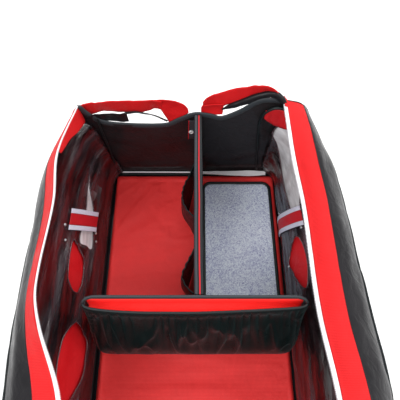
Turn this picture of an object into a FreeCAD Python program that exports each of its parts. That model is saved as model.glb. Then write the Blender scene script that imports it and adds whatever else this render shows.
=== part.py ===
"""Open hockey equipment bag: a wide duffel whose centre zip is undone and whose mouth is spread open.

Frame, in millimetres: +Z up, +Y towards the far end of the bag, +X to the right.
The origin is on the floor, under the middle of the bag.

The coated-fabric walls are thin shells that follow a cross-section curve. The curve runs from the
base seam, out over the slumped bulge, and in to the zip at the mouth. It changes along the bag.
Strips of that one curve make the side panel, the shoulder panel, the red zip band and the zip chain.
"""
import math
import os

import FreeCAD
import Part

Vec = FreeCAD.Vector
FAR, NEAR = 1, -1
LEFT, RIGHT = "left", "right"

# ---- driving dimensions -------------------------------------------------------------------
HALF_LENGTH = 450.0          # from the middle to each end panel's inner face
WALL = 2.4                   # coated fabric, with its lining
SEAM = 0.5                   # gap left between pieces that are sewn edge to edge
RUNNER_HEIGHT = 8.0
PAD_TOP = 25.0               # the floor that the kit stands on
CHAIN_WIDTH = 8.0            # zip tape and coil on one side of the mouth
BAND_WIDTH = 42.0            # flat red band beside the zip
SHOULDER_WIDTH = 76.0
WEBBING_WIDTH = 38.0
WEBBING = 2.6
WEBBING_TOP = 176.0          # how far up the wall, from the base seam, the webbing legs reach
HANDLE_PLANE = 334.0         # the carry handles hang just outside the widest bulge
HANDLE_HINGE_Z = 172.0
HANDLE_Y = 150.0
HANDLE_DROP = 150.0
GRAB_Y = 459.0
GRAB_HINGE_Z = 186.0
STRAP_Y = 262.0              # the striped straps' middle, either side of the bag's middle
VENTS = {                    # where each side's vent window lies: y range, then distance up the lining
    "left": (206, 360, 72, 118),
    "right": (258, 436, 130, 196),
}
ZIP_TOP = 270.0              # the joined end of the zip runs up to here
ZIP_STOP = 196.0
DIVIDER_NEAR, DIVIDER_FAR = 60.5, 445.0
CROSS_BACK = 54.2            # the cross divider's pouch lies before this plane, its panel behind it

# Wall cross-sections: y, then (x, z) from the base seam up and round to the mouth.
RIGHT_WALL = {
    -450: [(222, 12), (238, 62), (252, 140), (257, 210), (248, 265), (222, 300), (182, 312)],
    -340: [(227, 12), (282, 60), (303, 138), (303, 210), (280, 262), (243, 302), (203, 300)],
    -230: [(228, 12), (290, 60), (318, 138), (318, 212), (300, 262), (260, 300), (218, 290)],
    -106: [(228, 12), (293, 60), (320, 138), (322, 215), (308, 262), (262, 298), (217, 285)],
    33: [(228, 12), (293, 60), (320, 138), (318, 212), (300, 262), (247, 298), (204, 283)],
    220: [(228, 12), (290, 60), (314, 138), (310, 212), (290, 264), (242, 302), (201, 286)],
    330: [(227, 12), (284, 60), (300, 138), (298, 210), (280, 264), (238, 306), (192, 290)],
    450: [(222, 12), (238, 62), (252, 140), (257, 210), (250, 268), (224, 305), (182, 318)],
}
LEFT_WALL = {
    -450: [(-222, 12), (-238, 62), (-258, 140), (-270, 200), (-270, 240), (-260, 272), (-238, 300)],
    -340: [(-227, 12), (-280, 60), (-305, 140), (-305, 212), (-280, 262), (-243, 294), (-200, 312)],
    -230: [(-228, 12), (-288, 60), (-318, 140), (-315, 222), (-280, 275), (-230, 302), (-185, 318)],
    -106: [(-228, 12), (-293, 60), (-320, 140), (-314, 230), (-285, 282), (-241, 305), (-195, 322)],
    0: [(-228, 12), (-293, 60), (-322, 138), (-326, 218), (-308, 262), (-278, 289), (-243, 325)],
    60: [(-228, 12), (-293, 60), (-323, 138), (-329, 215), (-313, 254), (-289, 282), (-259, 325)],
    220: [(-228, 12), (-292, 60), (-320, 138), (-327, 210), (-312, 252), (-286, 280), (-257, 317)],
    330: [(-227, 12), (-288, 60), (-314, 138), (-321, 205), (-313, 245), (-296, 276), (-268, 310)],
    450: [(-222, 12), (-238, 62), (-258, 140), (-270, 205), (-274, 245), (-266, 274), (-248, 300)],
}
# The loose inner lining hangs from the band and reaches the floor pad's edge.
RIGHT_LINING = {
    -440: [(217, 28), (209, 62), (207, 110), (212, 170), (214, 225)],
    -230: [(218, 28), (213, 62), (212, 100), (232, 170), (262, 228)],
    220: [(218, 28), (213, 62), (211, 100), (230, 170), (258, 225)],
    330: [(218, 28), (212, 62), (209, 105), (219, 170), (238, 225)],
    440: [(217, 28), (209, 62), (206, 110), (207, 170), (209, 230)],
}
LEFT_LINING = {
    -440: [(-217, 28), (-222, 62), (-231, 105), (-244, 170), (-252, 225)],
    -230: [(-219, 28), (-230, 62), (-243, 98), (-268, 172), (-287, 232)],
    220: [(-219, 28), (-230, 62), (-243, 98), (-268, 172), (-289, 232)],
    330: [(-219, 28), (-229, 62), (-241, 98), (-264, 172), (-284, 230)],
    440: [(-217, 28), (-222, 62), (-231, 105), (-244, 170), (-254, 228)],
}
# The slack top edge of each end panel, from the left corner to the right one.
END_TOP = [
    (-204, 246), (-147, 236), (-68, 236), (-33, 256), (0, 274), (33, 269), (59, 261), (97, 283), (138, 318),
]

WALL_STATIONS = [-450, -395, -340, -285, -230, -168, -106, -50, 0, 50, 100, 160, 220, 275, 330, 390, 450]
LINING_STATIONS = [
    -440, -412, -385, -358, -330, -302, -275, -248, -220, -165, -110, -55, 0,
    55, 110, 165, 220, 248, 275, 302, 330, 358, 385, 412, 440,
]


# ---- curves ---------------------------------------------------------------------------------
def between(table, y):
    """The control points at y, eased from one station of the table to the next."""
    keys = sorted(table)
    y = min(max(y, keys[0]), keys[-1])
    i = max(k for k in range(len(keys) - 1) if keys[k] <= y)
    lo, hi = keys[i], keys[i + 1]

    def slope(k, n, axis):
        a, b = max(k - 1, 0), min(k + 1, len(keys) - 1)
        return (table[keys[b]][n][axis] - table[keys[a]][n][axis]) / (keys[b] - keys[a])

    span = hi - lo
    t = (y - lo) / span
    ease = 3 * t ** 2 - 2 * t ** 3
    leave = (t ** 3 - 2 * t ** 2 + t) * span
    arrive = (t ** 3 - t ** 2) * span

    def value(n, axis):
        start, end = table[lo][n][axis], table[hi][n][axis]
        return start + (end - start) * ease + slope(i, n, axis) * leave + slope(i + 1, n, axis) * arrive

    return [(value(n, 0), value(n, 1)) for n in range(len(table[lo]))]


def smooth(points, steps=12):
    """A Catmull-Rom curve through the points, as a fine polyline."""
    first = tuple(2 * a - b for a, b in zip(points[0], points[1]))
    last = tuple(2 * a - b for a, b in zip(points[-1], points[-2]))
    p = [first, *points, last]

    def blend(a, b, c, d, t):
        square, cube = 2 * a - 5 * b + 4 * c - d, 3 * b - a - 3 * c + d
        return 0.5 * (2 * b + (c - a) * t + square * t ** 2 + cube * t ** 3)

    out = []
    for i in range(1, len(p) - 2):
        for k in range(steps):
            corners = zip(p[i - 1], p[i], p[i + 1], p[i + 2])
            out.append(tuple(blend(*four, k / steps) for four in corners))
    return out + [tuple(points[-1])]


def lengths(line):
    """The distance along a polyline to each of its points."""
    run = [0.0]
    for a, b in zip(line, line[1:]):
        run.append(run[-1] + math.dist(a, b))
    return run


def along(line, s):
    """The point, and the unit direction, at distance s along a polyline."""
    run = lengths(line)
    s = min(max(s, 0.0), run[-1])
    i = max(k for k in range(len(run) - 1) if run[k] <= s)
    a, b = line[i], line[i + 1]
    t = (s - run[i]) / (run[i + 1] - run[i])
    size = math.dist(a, b)
    return tuple(p + (q - p) * t for p, q in zip(a, b)), tuple((q - p) / size for p, q in zip(a, b))


def wall_line(side, y):
    """The wall's outer curve at y, from the mouth down to the base seam."""
    table = RIGHT_WALL if side == RIGHT else LEFT_WALL
    return smooth(between(table, y))[::-1]


def inward(side, direction):
    """The unit normal, towards the inside of the bag, of a curve that runs down from the mouth."""
    dx, dz = direction
    return (-dz, dx) if side == LEFT else (dz, -dx)


def lining_line(side, y):
    """The lining's curve at y, from under the band's outer edge down to the floor pad's edge."""
    table = RIGHT_LINING if side == RIGHT else LEFT_LINING
    (x, z), d = along(wall_line(side, y), CHAIN_WIDTH + BAND_WIDTH)
    nx, nz = inward(side, d)
    hang = WALL + 3.5
    return smooth(between(table, y) + [(x + nx * hang, z + nz * hang)])[::-1]


# ---- solids ---------------------------------------------------------------------------------
def sheet_section(line, side, y, s0, s1, inner, outer, count=9):
    """A closed thin section at y: the stretch s0 to s1 of a curve, from inner to outer mm inside it."""
    rows = []
    for depth in (outer, inner):
        row = []
        for k in range(count):
            (x, z), d = along(line, s0 + (s1 - s0) * k / (count - 1))
            nx, nz = inward(side, d)
            row.append(Vec(x + nx * depth, y, z + nz * depth))
        rows.append(row)
    edges = []
    for row in rows:
        curve = Part.BSplineCurve()
        curve.interpolate(row)
        edges.append(curve.toShape())
    edges.append(Part.makeLine(rows[0][0], rows[1][0]))
    edges.append(Part.makeLine(rows[0][-1], rows[1][-1]))
    return Part.Wire(Part.__sortEdges__(edges))


def strip(side, s0, s1, depth, thickness, stations=WALL_STATIONS, line=wall_line):
    """A sheet that follows a curve along the bag. A negative s1 is counted from the curve's end."""
    wires = []
    for y in stations:
        curve = line(side, y)
        end = s1 if s1 > 0 else lengths(curve)[-1] + s1
        wires.append(sheet_section(curve, side, y, s0, end, depth, depth + thickness))
    return Part.makeLoft(wires, True, False)


def box(x0, x1, y0, y1, z0, z1):
    return Part.makeBox(x1 - x0, y1 - y0, z1 - z0, Vec(x0, y0, z0))


def rounded_plate(x0, x1, y0, y1, z0, z1, radius):
    plate = box(x0, x1, y0, y1, z0, z1)
    return plate.makeFillet(radius, [e for e in plate.Edges if abs(e.tangentAt(e.FirstParameter).z) > 0.9])


def outline(points, height):
    """A flat polygon, given as vectors, pushed along a vector."""
    return Part.Face(Part.makePolygon([*points, points[0]])).extrude(height)


def ribbon(points, widths, thickness):
    """A flat band through the points. Each width is the vector from one edge to the other there."""
    wires = []
    for i, (p, w) in enumerate(zip(points, widths)):
        before, after = points[max(i - 1, 0)], points[min(i + 1, len(points) - 1)]
        tangent = (Vec(*after) - Vec(*before)).normalize()
        across = Vec(*w)
        normal = tangent.cross(across).normalize() * (thickness / 2)
        upper, lower = Vec(*p) + across * 0.5, Vec(*p) - across * 0.5
        corners = [upper + normal, upper - normal, lower - normal, lower + normal]
        wires.append(Part.makePolygon([*corners, corners[0]]))
    return Part.makeLoft(wires, True, True)


def group(*solids):
    return Part.makeCompound(list(solids))


def u_strap(half_span, drop, width, radius, x0, x1):
    """A strap bent to a U in the YZ plane, its open ends at z = 0 and its middle at z = -drop."""
    outer = box(x0, x1, -half_span - width / 2, half_span + width / 2, -drop, drop)
    inner = box(x0 - 1, x1 + 1, -half_span + width / 2, half_span - width / 2, -drop + width, drop)
    lying = [e for e in outer.Edges if abs(e.tangentAt(e.FirstParameter).x) > 0.9]
    outer = outer.makeFillet(radius + width / 2, lying)
    lying = [e for e in inner.Edges if abs(e.tangentAt(e.FirstParameter).x) > 0.9]
    inner = inner.makeFillet(radius - width / 2, lying)
    above = box(x0 - 1, x1 + 1, -half_span - width, half_span + width, 0, drop + 1)
    return outer.cut(inner).cut(above)


# ---- the fabric body --------------------------------------------------------------------------
def wall_parts(side):
    band = CHAIN_WIDTH + SEAM
    shoulder = CHAIN_WIDTH + BAND_WIDTH
    panel = shoulder + SHOULDER_WIDTH
    return {
        f"zip_chain_{side}": strip(side, 0.0, CHAIN_WIDTH, 0.0, 2.0),
        f"zip_band_{side}": strip(side, band, shoulder - SEAM, 0.0, 2.0),
        f"shoulder_panel_{side}": strip(side, shoulder, panel - SEAM, 0.0, WALL),
        f"side_panel_{side}": strip(side, panel, -0.5, 0.0, WALL),
    }


def lining_parts(side):
    """The hanging lining, the film pocket in front of it, and the striped straps over the pocket."""
    film_bottom, film_drop = 3.0, 125.0
    strap_half = 34.0
    vent_start, vent_end, vent_low, vent_high = VENTS[side]

    def pocket(stations, lower, upper, depth, thickness):
        wires = []
        for y in stations:
            curve = lining_line(side, y)
            top, bottom = lengths(curve)[-1] - upper, lengths(curve)[-1] - lower
            wires.append(sheet_section(curve, side, y, top, bottom, depth, depth + thickness))
        return Part.makeLoft(wires, True, False)

    straps, vents = [], []
    for end in (FAR, NEAR):
        ys = sorted(end * (STRAP_Y + k * strap_half) for k in (-1, 0, 1))
        straps.append(pocket(ys, 30.0, 160.0, 7.2, 1.6))
        ys = sorted(end * (vent_start + (vent_end - vent_start) * k / 6) for k in range(7))
        vents.append(pocket(ys, vent_low, vent_high, 2.8, 0.8))
    return {
        f"wall_lining_{side}": strip(side, 0.5, -0.5, 0.0, 1.2, LINING_STATIONS, lining_line),
        f"film_pocket_{side}": pocket(LINING_STATIONS, film_bottom, film_drop, 5.2, 1.0),
        f"striped_strap_{side}": group(*straps),
        f"vent_window_{side}": group(*vents),
    }


def wall_rivets():
    """Eight snap rivets, four beside the far straps and four beside the near ones."""
    solids = []
    for side in (LEFT, RIGHT):
        for end in (FAR, NEAR):
            for y in (222.0, 302.0):
                curve = lining_line(side, end * y)
                (x, z), d = along(curve, lengths(curve)[-1] - 92.0)
                nx, nz = inward(side, d)
                foot = Vec(x + nx * 6.6, end * y, z + nz * 6.6)
                solids.append(Part.makeCylinder(5.0, 1.6, foot, Vec(nx, 0, nz)))
    return group(*solids)


def end_panel(end):
    """A flat sheet whose outline is the walls' own section, closed along the slack top edge."""
    y = end * HALF_LENGTH
    step = 6
    right = [p for k, p in enumerate(wall_line(RIGHT, y)) if k % step == 0]
    left = [p for k, p in enumerate(wall_line(LEFT, y)) if k % step == 0]
    points = right[::-1] + END_TOP[::-1] + left
    start = y + end * SEAM
    return outline([Vec(x, start, z) for x, z in points], Vec(0, end * WALL, 0))


def rim_binding(end):
    """The taped edge along the slack middle of an end panel."""
    y = end * (HALF_LENGTH - 3.2)
    points = [(x, y, z - 6.0) for x, z in END_TOP]
    return ribbon(points, [(0, 0, 11.0)] * len(points), 1.8)


def end_loop_left(end):
    """The left zip band past the corner: it stands on edge round the end and is sewn on near the zip."""
    path = [(-256, 459, 276), (-244, 468, 281), (-190, 472, 284), (-135, 471, 287), (-84, 466, 284)]
    standing = (0, end * 6, 41)
    loop = ribbon([(x, end * y, z) for x, y, z in path], [standing] * len(path), 2.2)
    y = end * (HALF_LENGTH + 4.4)
    foot = [(-63, 238), (-12, 268), (-14, 276), (-44, 306), (-76, 304)]
    sewn = outline([Vec(x, y, z) for x, z in foot], Vec(0, end * 2.2, 0))
    return group(loop, sewn)


def end_loop_right(end):
    """The right zip band past the corner: it rises over the end, folds back and is sewn on."""
    path = [
        (190, 458, 303), (168, 466, 318), (135, 470, 325), (100, 470, 321), (62, 467, 309), (22, 462, 290),
    ]
    standing = (0, end * 6, 40)
    loop = ribbon([(x, end * y, z) for x, y, z in path], [standing] * len(path), 2.2)
    y = end * (HALF_LENGTH + 4.4)
    foot = [(14, 264), (60, 254), (60, 282), (14, 292)]
    sewn = outline([Vec(x, y, z) for x, z in foot], Vec(0, end * 2.2, 0))
    return group(loop, sewn)


def base_parts():
    runners = []
    for x in (-176.0, -88.0, 0.0, 88.0, 176.0):
        runners.append(rounded_plate(x - 14, x + 14, -370, 370, 0, RUNNER_HEIGHT - SEAM, 12))
    panel_top = RUNNER_HEIGHT + WALL
    return {
        "base_runners": group(*runners),
        "bottom_panel": rounded_plate(-224, 224, -451, 451, RUNNER_HEIGHT, panel_top, 12),
        "base_board": rounded_plate(-212, 212, -440, 440, panel_top + SEAM, panel_top + 3.3, 30),
        "floor_pad": rounded_plate(-213, 213, -442, 442, panel_top + 3.6, PAD_TOP, 24),
    }


def end_piping(end):
    """The pale piping where the end panel meets the floor pad."""
    y = end * 447.6
    return Part.makeCylinder(2.2, 396, Vec(-198, y, PAD_TOP + 2.0), Vec(1, 0, 0))


# ---- webbing, handles and zips ------------------------------------------------------------------
def webbing_legs(side):
    """The two straps sewn up the outside of a wall, which the carry handle hangs from."""
    legs = []
    for y in (-HANDLE_Y, HANDLE_Y):
        ys = [y - WEBBING_WIDTH / 2, y, y + WEBBING_WIDTH / 2]
        curves = [wall_line(side, v) for v in ys]
        wires = []
        for v, curve in zip(ys, curves):
            total = lengths(curve)[-1]
            top, bottom = total - WEBBING_TOP, total - 6.0
            wires.append(sheet_section(curve, side, v, top, bottom, -0.4, -0.4 - WEBBING))
        legs.append(Part.makeLoft(wires, True, False))
    return group(*legs)


def carry_handle(side):
    sign = 1 if side == RIGHT else -1
    x0, x1 = sorted((sign * HANDLE_PLANE, sign * (HANDLE_PLANE + WEBBING)))
    strap = u_strap(HANDLE_Y, HANDLE_DROP, WEBBING_WIDTH, 60.0, x0, x1)
    strap.translate(Vec(0, 0, HANDLE_HINGE_Z))
    centre = sign * (HANDLE_PLANE + WEBBING / 2)
    low = HANDLE_HINGE_Z - HANDLE_DROP
    wrap = rounded_plate(centre - 7, centre + 7, -62, 62, low - 5, low + WEBBING_WIDTH + 5, 2)
    rims = [e for e in wrap.Edges if abs(e.tangentAt(e.FirstParameter).y) > 0.9]
    slot = box(x0 - 0.2, x1 + 0.2, -70, 70, low - 0.2, low + WEBBING_WIDTH + 0.2)
    wrap = wrap.makeFillet(6.0, rims).cut(slot)
    return {f"handle_strap_{side}": strap, f"handle_wrap_{side}": wrap}


def grab_handle(end, name):
    """A short webbing handle sewn across the end panel, with a padded grip."""
    half_span, drop, width = 84.0, 62.0, 28.0
    strap = u_strap(half_span, drop, width, 22.0, 0, WEBBING)
    grip = rounded_plate(-5, WEBBING + 5, -46, 46, -drop - 3, -drop + width + 3, 1.5)
    rims = [e for e in grip.Edges if abs(e.tangentAt(e.FirstParameter).y) > 0.9]
    slot = box(-0.2, WEBBING + 0.2, -50, 50, -drop - 0.2, -drop + width + 0.2)
    grip = grip.makeFillet(5.0, rims).cut(slot)
    placed = []
    for solid in (strap, grip):
        solid.rotate(Vec(0, 0, 0), Vec(0, 0, 1), 90 * end)
        solid.translate(Vec(0, end * GRAB_Y, GRAB_HINGE_Z))
        placed.append(solid)
    return {f"grab_strap_{name}": placed[0], f"grab_grip_{name}": placed[1]}


def strap_patches():
    """Stitched anchor patches: four for the carry handles and two for each grab handle."""
    solids = []
    for side, sign in ((LEFT, -1), (RIGHT, 1)):
        for y in (-HANDLE_Y, HANDLE_Y):
            (x, _), _ = along(wall_line(side, y), lengths(wall_line(side, y))[-1] - WEBBING_TOP)
            x0, x1 = sorted((x + sign * 5.0, sign * (HANDLE_PLANE - 0.3)))
            solids.append(box(x0, x1, y - 22, y + 22, HANDLE_HINGE_Z - 22, HANDLE_HINGE_Z + 6))
    for end in (FAR, NEAR):
        for x in (-84.0, 84.0):
            y0, y1 = sorted((end * (HALF_LENGTH + SEAM + WALL + 0.2), end * (GRAB_Y - 0.3)))
            solids.append(box(x - 18, x + 18, y0, y1, GRAB_HINGE_Z - 14, GRAB_HINGE_Z + 16))
    return group(*solids)


def zip_end(end):
    """The last joined stretch of the zip, on the outside of the end panel."""
    face = HALF_LENGTH + SEAM + WALL + 0.3
    y0, y1 = sorted((end * face, end * (face + 0.9)))
    tape = box(-13, 13, y0, y1, ZIP_STOP, ZIP_TOP)
    y0, y1 = sorted((end * face, end * (face + 3.4)))
    return tape.fuse(box(-3, 3, y0, y1, ZIP_STOP, ZIP_TOP)).removeSplitter()


def zip_slider(end, name):
    """The slider parked at the stop, and its pull hanging from the slider's bridge."""
    face = HALF_LENGTH + SEAM + WALL + 0.3
    y0, y1 = sorted((end * (face + 1.3), end * (face + 7.0)))
    body = rounded_plate(-6.5, 6.5, y0, y1, 198, 214, 1.0)
    y0, y1 = sorted((end * (face - 1), end * (face + 3.8)))
    body = body.cut(box(-3.4, 3.4, y0, y1, 190, 220))
    pin_y = face + 9.5
    bridge = box(-1.4, 1.4, *sorted((end * (face + 6.9), end * (pin_y + 2.2))), 204, 212)
    body = body.fuse(bridge).cut(Part.makeCylinder(1.3, 6, Vec(-3, end * pin_y, 208), Vec(1, 0, 0)))
    pull = rounded_plate(-5, 5, *sorted((end * (pin_y - 1.2), end * (pin_y + 1.2))), 170, 209.2, 0.5)
    window = box(-2.0, 2.0, *sorted((end * (pin_y - 3), end * (pin_y + 3))), 200, 210)
    pin = Part.makeCylinder(1.2, 5.0, Vec(-2.5, end * pin_y, 208), Vec(1, 0, 0))
    pull = pull.cut(window).fuse(pin)
    return {f"zip_slider_{name}": body.removeSplitter(), f"zip_pull_{name}": pull.removeSplitter()}


# ---- what stands inside ---------------------------------------------------------------------------
def long_divider():
    """The padded divider between the far compartments, with its trims, mesh pockets and snap tab."""
    near, far = DIVIDER_NEAR, DIVIDER_FAR
    low_top, high_top = 258.0, 272.0
    left, right = -1.0, 15.0

    def along_top(x0, x1, lift0, lift1):
        edge = [Vec(x0, near, low_top + lift0), Vec(x0, far, high_top + lift0),
                Vec(x0, far, high_top + lift1), Vec(x0, near, low_top + lift1)]
        return outline(edge, Vec(x1 - x0, 0, 0))

    foot = PAD_TOP + 1
    side = [Vec(left, near, foot), Vec(left, far, foot), Vec(left, far, high_top), Vec(left, near, low_top)]
    pockets = []
    for y0, y1, depth in ((266.0, 408.0, 27.0), (92.0, 190.0, 24.0)):
        arcs = []
        for inset in (0.0, 1.6):
            ends = Vec(left - 0.3, y0 + inset, 30), Vec(left - 0.3, y1 - inset, 30)
            arcs.append((ends[0], Vec(left - depth + inset, (y0 + y1) / 2, 30), ends[1]))
        outer = Part.Face(Part.Wire([Part.Arc(*arcs[0]).toShape(), Part.makeLine(arcs[0][2], arcs[0][0])]))
        inner = Part.Face(Part.Wire([Part.Arc(*arcs[1]).toShape(), Part.makeLine(arcs[1][2], arcs[1][0])]))
        pocket = outer.extrude(Vec(0, 0, 110)).cut(inner.extrude(Vec(0, 0, 112)).translated(Vec(0, 0, 1.6)))
        pockets.append(pocket)
    tab_face = far - 1.0
    return {
        "divider_panel": outline(side, Vec(right - left, 0, 0)),
        "divider_binding": group(along_top(left, 5.2, 0.2, 4.0), along_top(10.6, right, 0.2, 4.0)),
        "divider_stripe": along_top(5.4, 10.4, 0.2, 4.6),
        "divider_mesh_pockets": group(*pockets),
        "divider_tab": box(-16, left - SEAM, tab_face - 1.8, tab_face, 190, 258),
        "divider_snap": Part.makeCylinder(5.5, 2.0, Vec(-8.5, tab_face - 2.0, 219), Vec(0, -1, 0)).cut(
            Part.makeCylinder(2.0, 4.0, Vec(-8.5, tab_face - 1.5, 219), Vec(0, -1, 0))),
    }


def cross_divider():
    """The divider across the bag, with the gathered pouch on its near face."""
    half, back, front_top = 197.0, CROSS_BACK, 24.0
    behind = back + 4
    panel = rounded_plate(-half, half, back + 0.3, behind - 0.2, PAD_TOP + 1, 262, 1.5)
    skin = 2.4
    foot = 98.0
    front = [(-12, foot), (-27, 114), (-25, 142), (-12, 176), (8, 222), (front_top, 262)]
    outer = outline([Vec(-half, y, z) for y, z in [(back, foot), *front, (back, 262)]], Vec(2 * half, 0, 0))
    hollow = [(-11, foot + skin), (-24.3, 115), (-22.4, 141.5), (-9.6, 175.2), (10.4, 221)]
    hollow.append((front_top + skin, 263))
    hollow = [(back + 1, foot + skin), *hollow, (back + 1, 263)]
    cavity = outline([Vec(-half + skin, y, z) for y, z in hollow], Vec(2 * (half - skin), 0, 0))
    ring = rounded_plate(-half, half, front_top - 3, behind, 262.3, 268, 10)
    ring = ring.cut(rounded_plate(-half + 7, half - 7, front_top + 3, back - 1, 262, 269, 3))
    tabs = []
    for sign in (-1, 1):
        x0, x1 = sorted((sign * (half + SEAM), sign * (half + 5)))
        tabs.append(box(x0, x1, back - 14, behind, 120, 240))
    return {
        "cross_panel": panel,
        "cross_lining": box(-half + 4, half - 4, back - 1.4, back, foot + 6, 260),
        "cross_pouch": outer.cut(cavity),
        "cross_rim": ring,
        "cross_tabs": group(*tabs),
    }


def skate_mat():
    """The felt mat on the right of the long divider, with its bound edge."""
    x0, x1, y0, y1 = 18.0, 200.0, 85.0, 417.0
    low = PAD_TOP + 0.5

    def inset(edge, z0, z1, radius):
        return rounded_plate(x0 + edge, x1 - edge, y0 + edge, y1 - edge, z0, z1, radius)

    border = 8.0
    frame = inset(0, low, low + 7.0, 24)
    hole = inset(border, low - 1, low + 9, 18)
    felt = inset(border + SEAM, low, low + 6, 18)
    return {"mat_felt": felt, "mat_binding": frame.cut(hole)}


def build():
    parts = {**base_parts(), **long_divider(), **cross_divider(), **skate_mat()}
    for side in (LEFT, RIGHT):
        parts.update(wall_parts(side))
        parts.update(lining_parts(side))
        parts.update(carry_handle(side))
        parts[f"webbing_legs_{side}"] = webbing_legs(side)
    for end, name in ((FAR, "far"), (NEAR, "near")):
        parts[f"end_panel_{name}"] = end_panel(end)
        parts[f"rim_binding_{name}"] = rim_binding(end)
        parts[f"end_loop_left_{name}"] = end_loop_left(end)
        parts[f"end_loop_right_{name}"] = end_loop_right(end)
        parts.update(grab_handle(end, name))
        parts.update(zip_slider(end, name))
    parts["end_piping"] = group(end_piping(FAR), end_piping(NEAR))
    parts["zip_ends"] = group(zip_end(FAR), zip_end(NEAR))
    parts["wall_rivets"] = wall_rivets()
    parts["strap_patches"] = strap_patches()
    return parts


os.makedirs("parts", exist_ok=True)
for node, shape in build().items():
    solids = shape.Solids
    assert solids and all(s.isValid() and s.Volume > 0 for s in solids), f"{node} is not a good solid"
    shape.exportStep(f"parts/{node}.step")
    print(f"{node}: {len(solids)} solid(s), {shape.Volume / 1000:.1f} cm3")
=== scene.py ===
"""Looks for the open hockey equipment bag: the soft goods, trims and materials round the CAD frame."""
import math

import bmesh
import bpy
import numpy as np
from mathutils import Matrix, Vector


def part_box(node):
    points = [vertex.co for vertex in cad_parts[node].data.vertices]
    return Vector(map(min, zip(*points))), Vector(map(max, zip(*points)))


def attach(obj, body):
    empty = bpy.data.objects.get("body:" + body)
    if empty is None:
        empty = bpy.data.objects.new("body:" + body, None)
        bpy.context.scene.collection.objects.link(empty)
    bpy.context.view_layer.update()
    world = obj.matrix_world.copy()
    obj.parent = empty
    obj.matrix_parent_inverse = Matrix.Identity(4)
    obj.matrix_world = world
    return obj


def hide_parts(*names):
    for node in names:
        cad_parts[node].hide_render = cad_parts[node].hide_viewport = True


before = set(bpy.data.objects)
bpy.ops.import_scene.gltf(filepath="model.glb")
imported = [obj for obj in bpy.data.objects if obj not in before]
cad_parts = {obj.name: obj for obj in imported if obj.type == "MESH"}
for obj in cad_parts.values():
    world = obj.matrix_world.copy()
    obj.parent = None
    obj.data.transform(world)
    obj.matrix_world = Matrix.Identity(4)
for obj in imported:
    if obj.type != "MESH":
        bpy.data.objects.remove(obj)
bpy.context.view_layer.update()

MM = 0.001
FAR, NEAR, LEFT, RIGHT = 1, -1, "left", "right"
SIDES, ENDS = ((LEFT, -1), (RIGHT, 1)), ((FAR, "far"), (NEAR, "near"))

# ---- driving sizes, in millimetres ------------------------------------------------------------
HALF_LENGTH = 450.0
PAD_TOP = 25.0
CHAIN_WIDTH, BAND_WIDTH, SHOULDER_WIDTH = 8.0, 42.0, 76.0
WALL = 2.2

# Wall cross-sections: y, then (x, z) from the base seam up and round to the mouth.
RIGHT_WALL = {
    -450: [(222, 12), (238, 62), (252, 140), (257, 210), (248, 265), (222, 300), (182, 312)],
    -340: [(227, 12), (282, 60), (303, 138), (303, 210), (280, 262), (243, 302), (203, 300)],
    -230: [(228, 12), (290, 60), (318, 138), (318, 212), (300, 262), (260, 300), (218, 290)],
    -106: [(228, 12), (293, 60), (320, 138), (322, 215), (308, 262), (262, 298), (217, 285)],
    33: [(228, 12), (293, 60), (320, 138), (318, 212), (300, 262), (247, 298), (204, 283)],
    220: [(228, 12), (290, 60), (314, 138), (310, 212), (290, 264), (242, 302), (201, 286)],
    330: [(227, 12), (284, 60), (300, 138), (298, 210), (280, 264), (238, 306), (192, 290)],
    450: [(222, 12), (238, 62), (252, 140), (257, 210), (250, 268), (224, 305), (182, 318)],
}
LEFT_WALL = {
    -450: [(-222, 12), (-238, 62), (-258, 140), (-270, 200), (-270, 240), (-260, 272), (-238, 300)],
    -340: [(-227, 12), (-280, 60), (-305, 140), (-305, 212), (-280, 262), (-243, 294), (-200, 312)],
    -230: [(-228, 12), (-288, 60), (-318, 140), (-315, 222), (-280, 275), (-230, 302), (-185, 318)],
    -106: [(-228, 12), (-293, 60), (-320, 140), (-314, 230), (-285, 282), (-241, 305), (-195, 322)],
    0: [(-228, 12), (-293, 60), (-322, 138), (-326, 218), (-308, 262), (-278, 289), (-243, 325)],
    60: [(-228, 12), (-293, 60), (-323, 138), (-329, 215), (-313, 254), (-289, 282), (-259, 325)],
    220: [(-228, 12), (-292, 60), (-320, 138), (-327, 210), (-312, 252), (-286, 280), (-257, 317)],
    330: [(-227, 12), (-288, 60), (-314, 138), (-321, 205), (-313, 245), (-296, 276), (-268, 310)],
    450: [(-222, 12), (-238, 62), (-258, 140), (-270, 205), (-274, 245), (-266, 274), (-248, 300)],
}
# The loose inner lining hangs from the band and reaches the floor pad's edge.
RIGHT_LINING = {
    -440: [(217, 28), (209, 62), (207, 110), (212, 170), (214, 225)],
    -230: [(218, 28), (213, 62), (212, 100), (232, 170), (262, 228)],
    220: [(218, 28), (213, 62), (211, 100), (230, 170), (258, 225)],
    330: [(218, 28), (212, 62), (209, 105), (219, 170), (238, 225)],
    440: [(217, 28), (209, 62), (206, 110), (207, 170), (209, 230)],
}
LEFT_LINING = {
    -440: [(-217, 28), (-222, 62), (-231, 105), (-244, 170), (-252, 225)],
    -230: [(-219, 28), (-230, 62), (-243, 98), (-268, 172), (-287, 232)],
    220: [(-219, 28), (-230, 62), (-243, 98), (-268, 172), (-289, 232)],
    330: [(-219, 28), (-229, 62), (-241, 98), (-264, 172), (-284, 230)],
    440: [(-217, 28), (-222, 62), (-231, 105), (-244, 170), (-254, 228)],
}
# The slack top edge of each end panel, from the left corner to the right one.
END_TOP = [
    (-204, 246), (-147, 236), (-68, 236), (-33, 256), (0, 274), (33, 269), (59, 261), (97, 283), (138, 318),
]


# ---- points and curves -------------------------------------------------------------------------
def xyz(x, y, z):
    """Points from three coordinates, each of them an array or one number."""
    return np.stack(np.broadcast_arrays(x, y, z), -1).astype(float)


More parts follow.
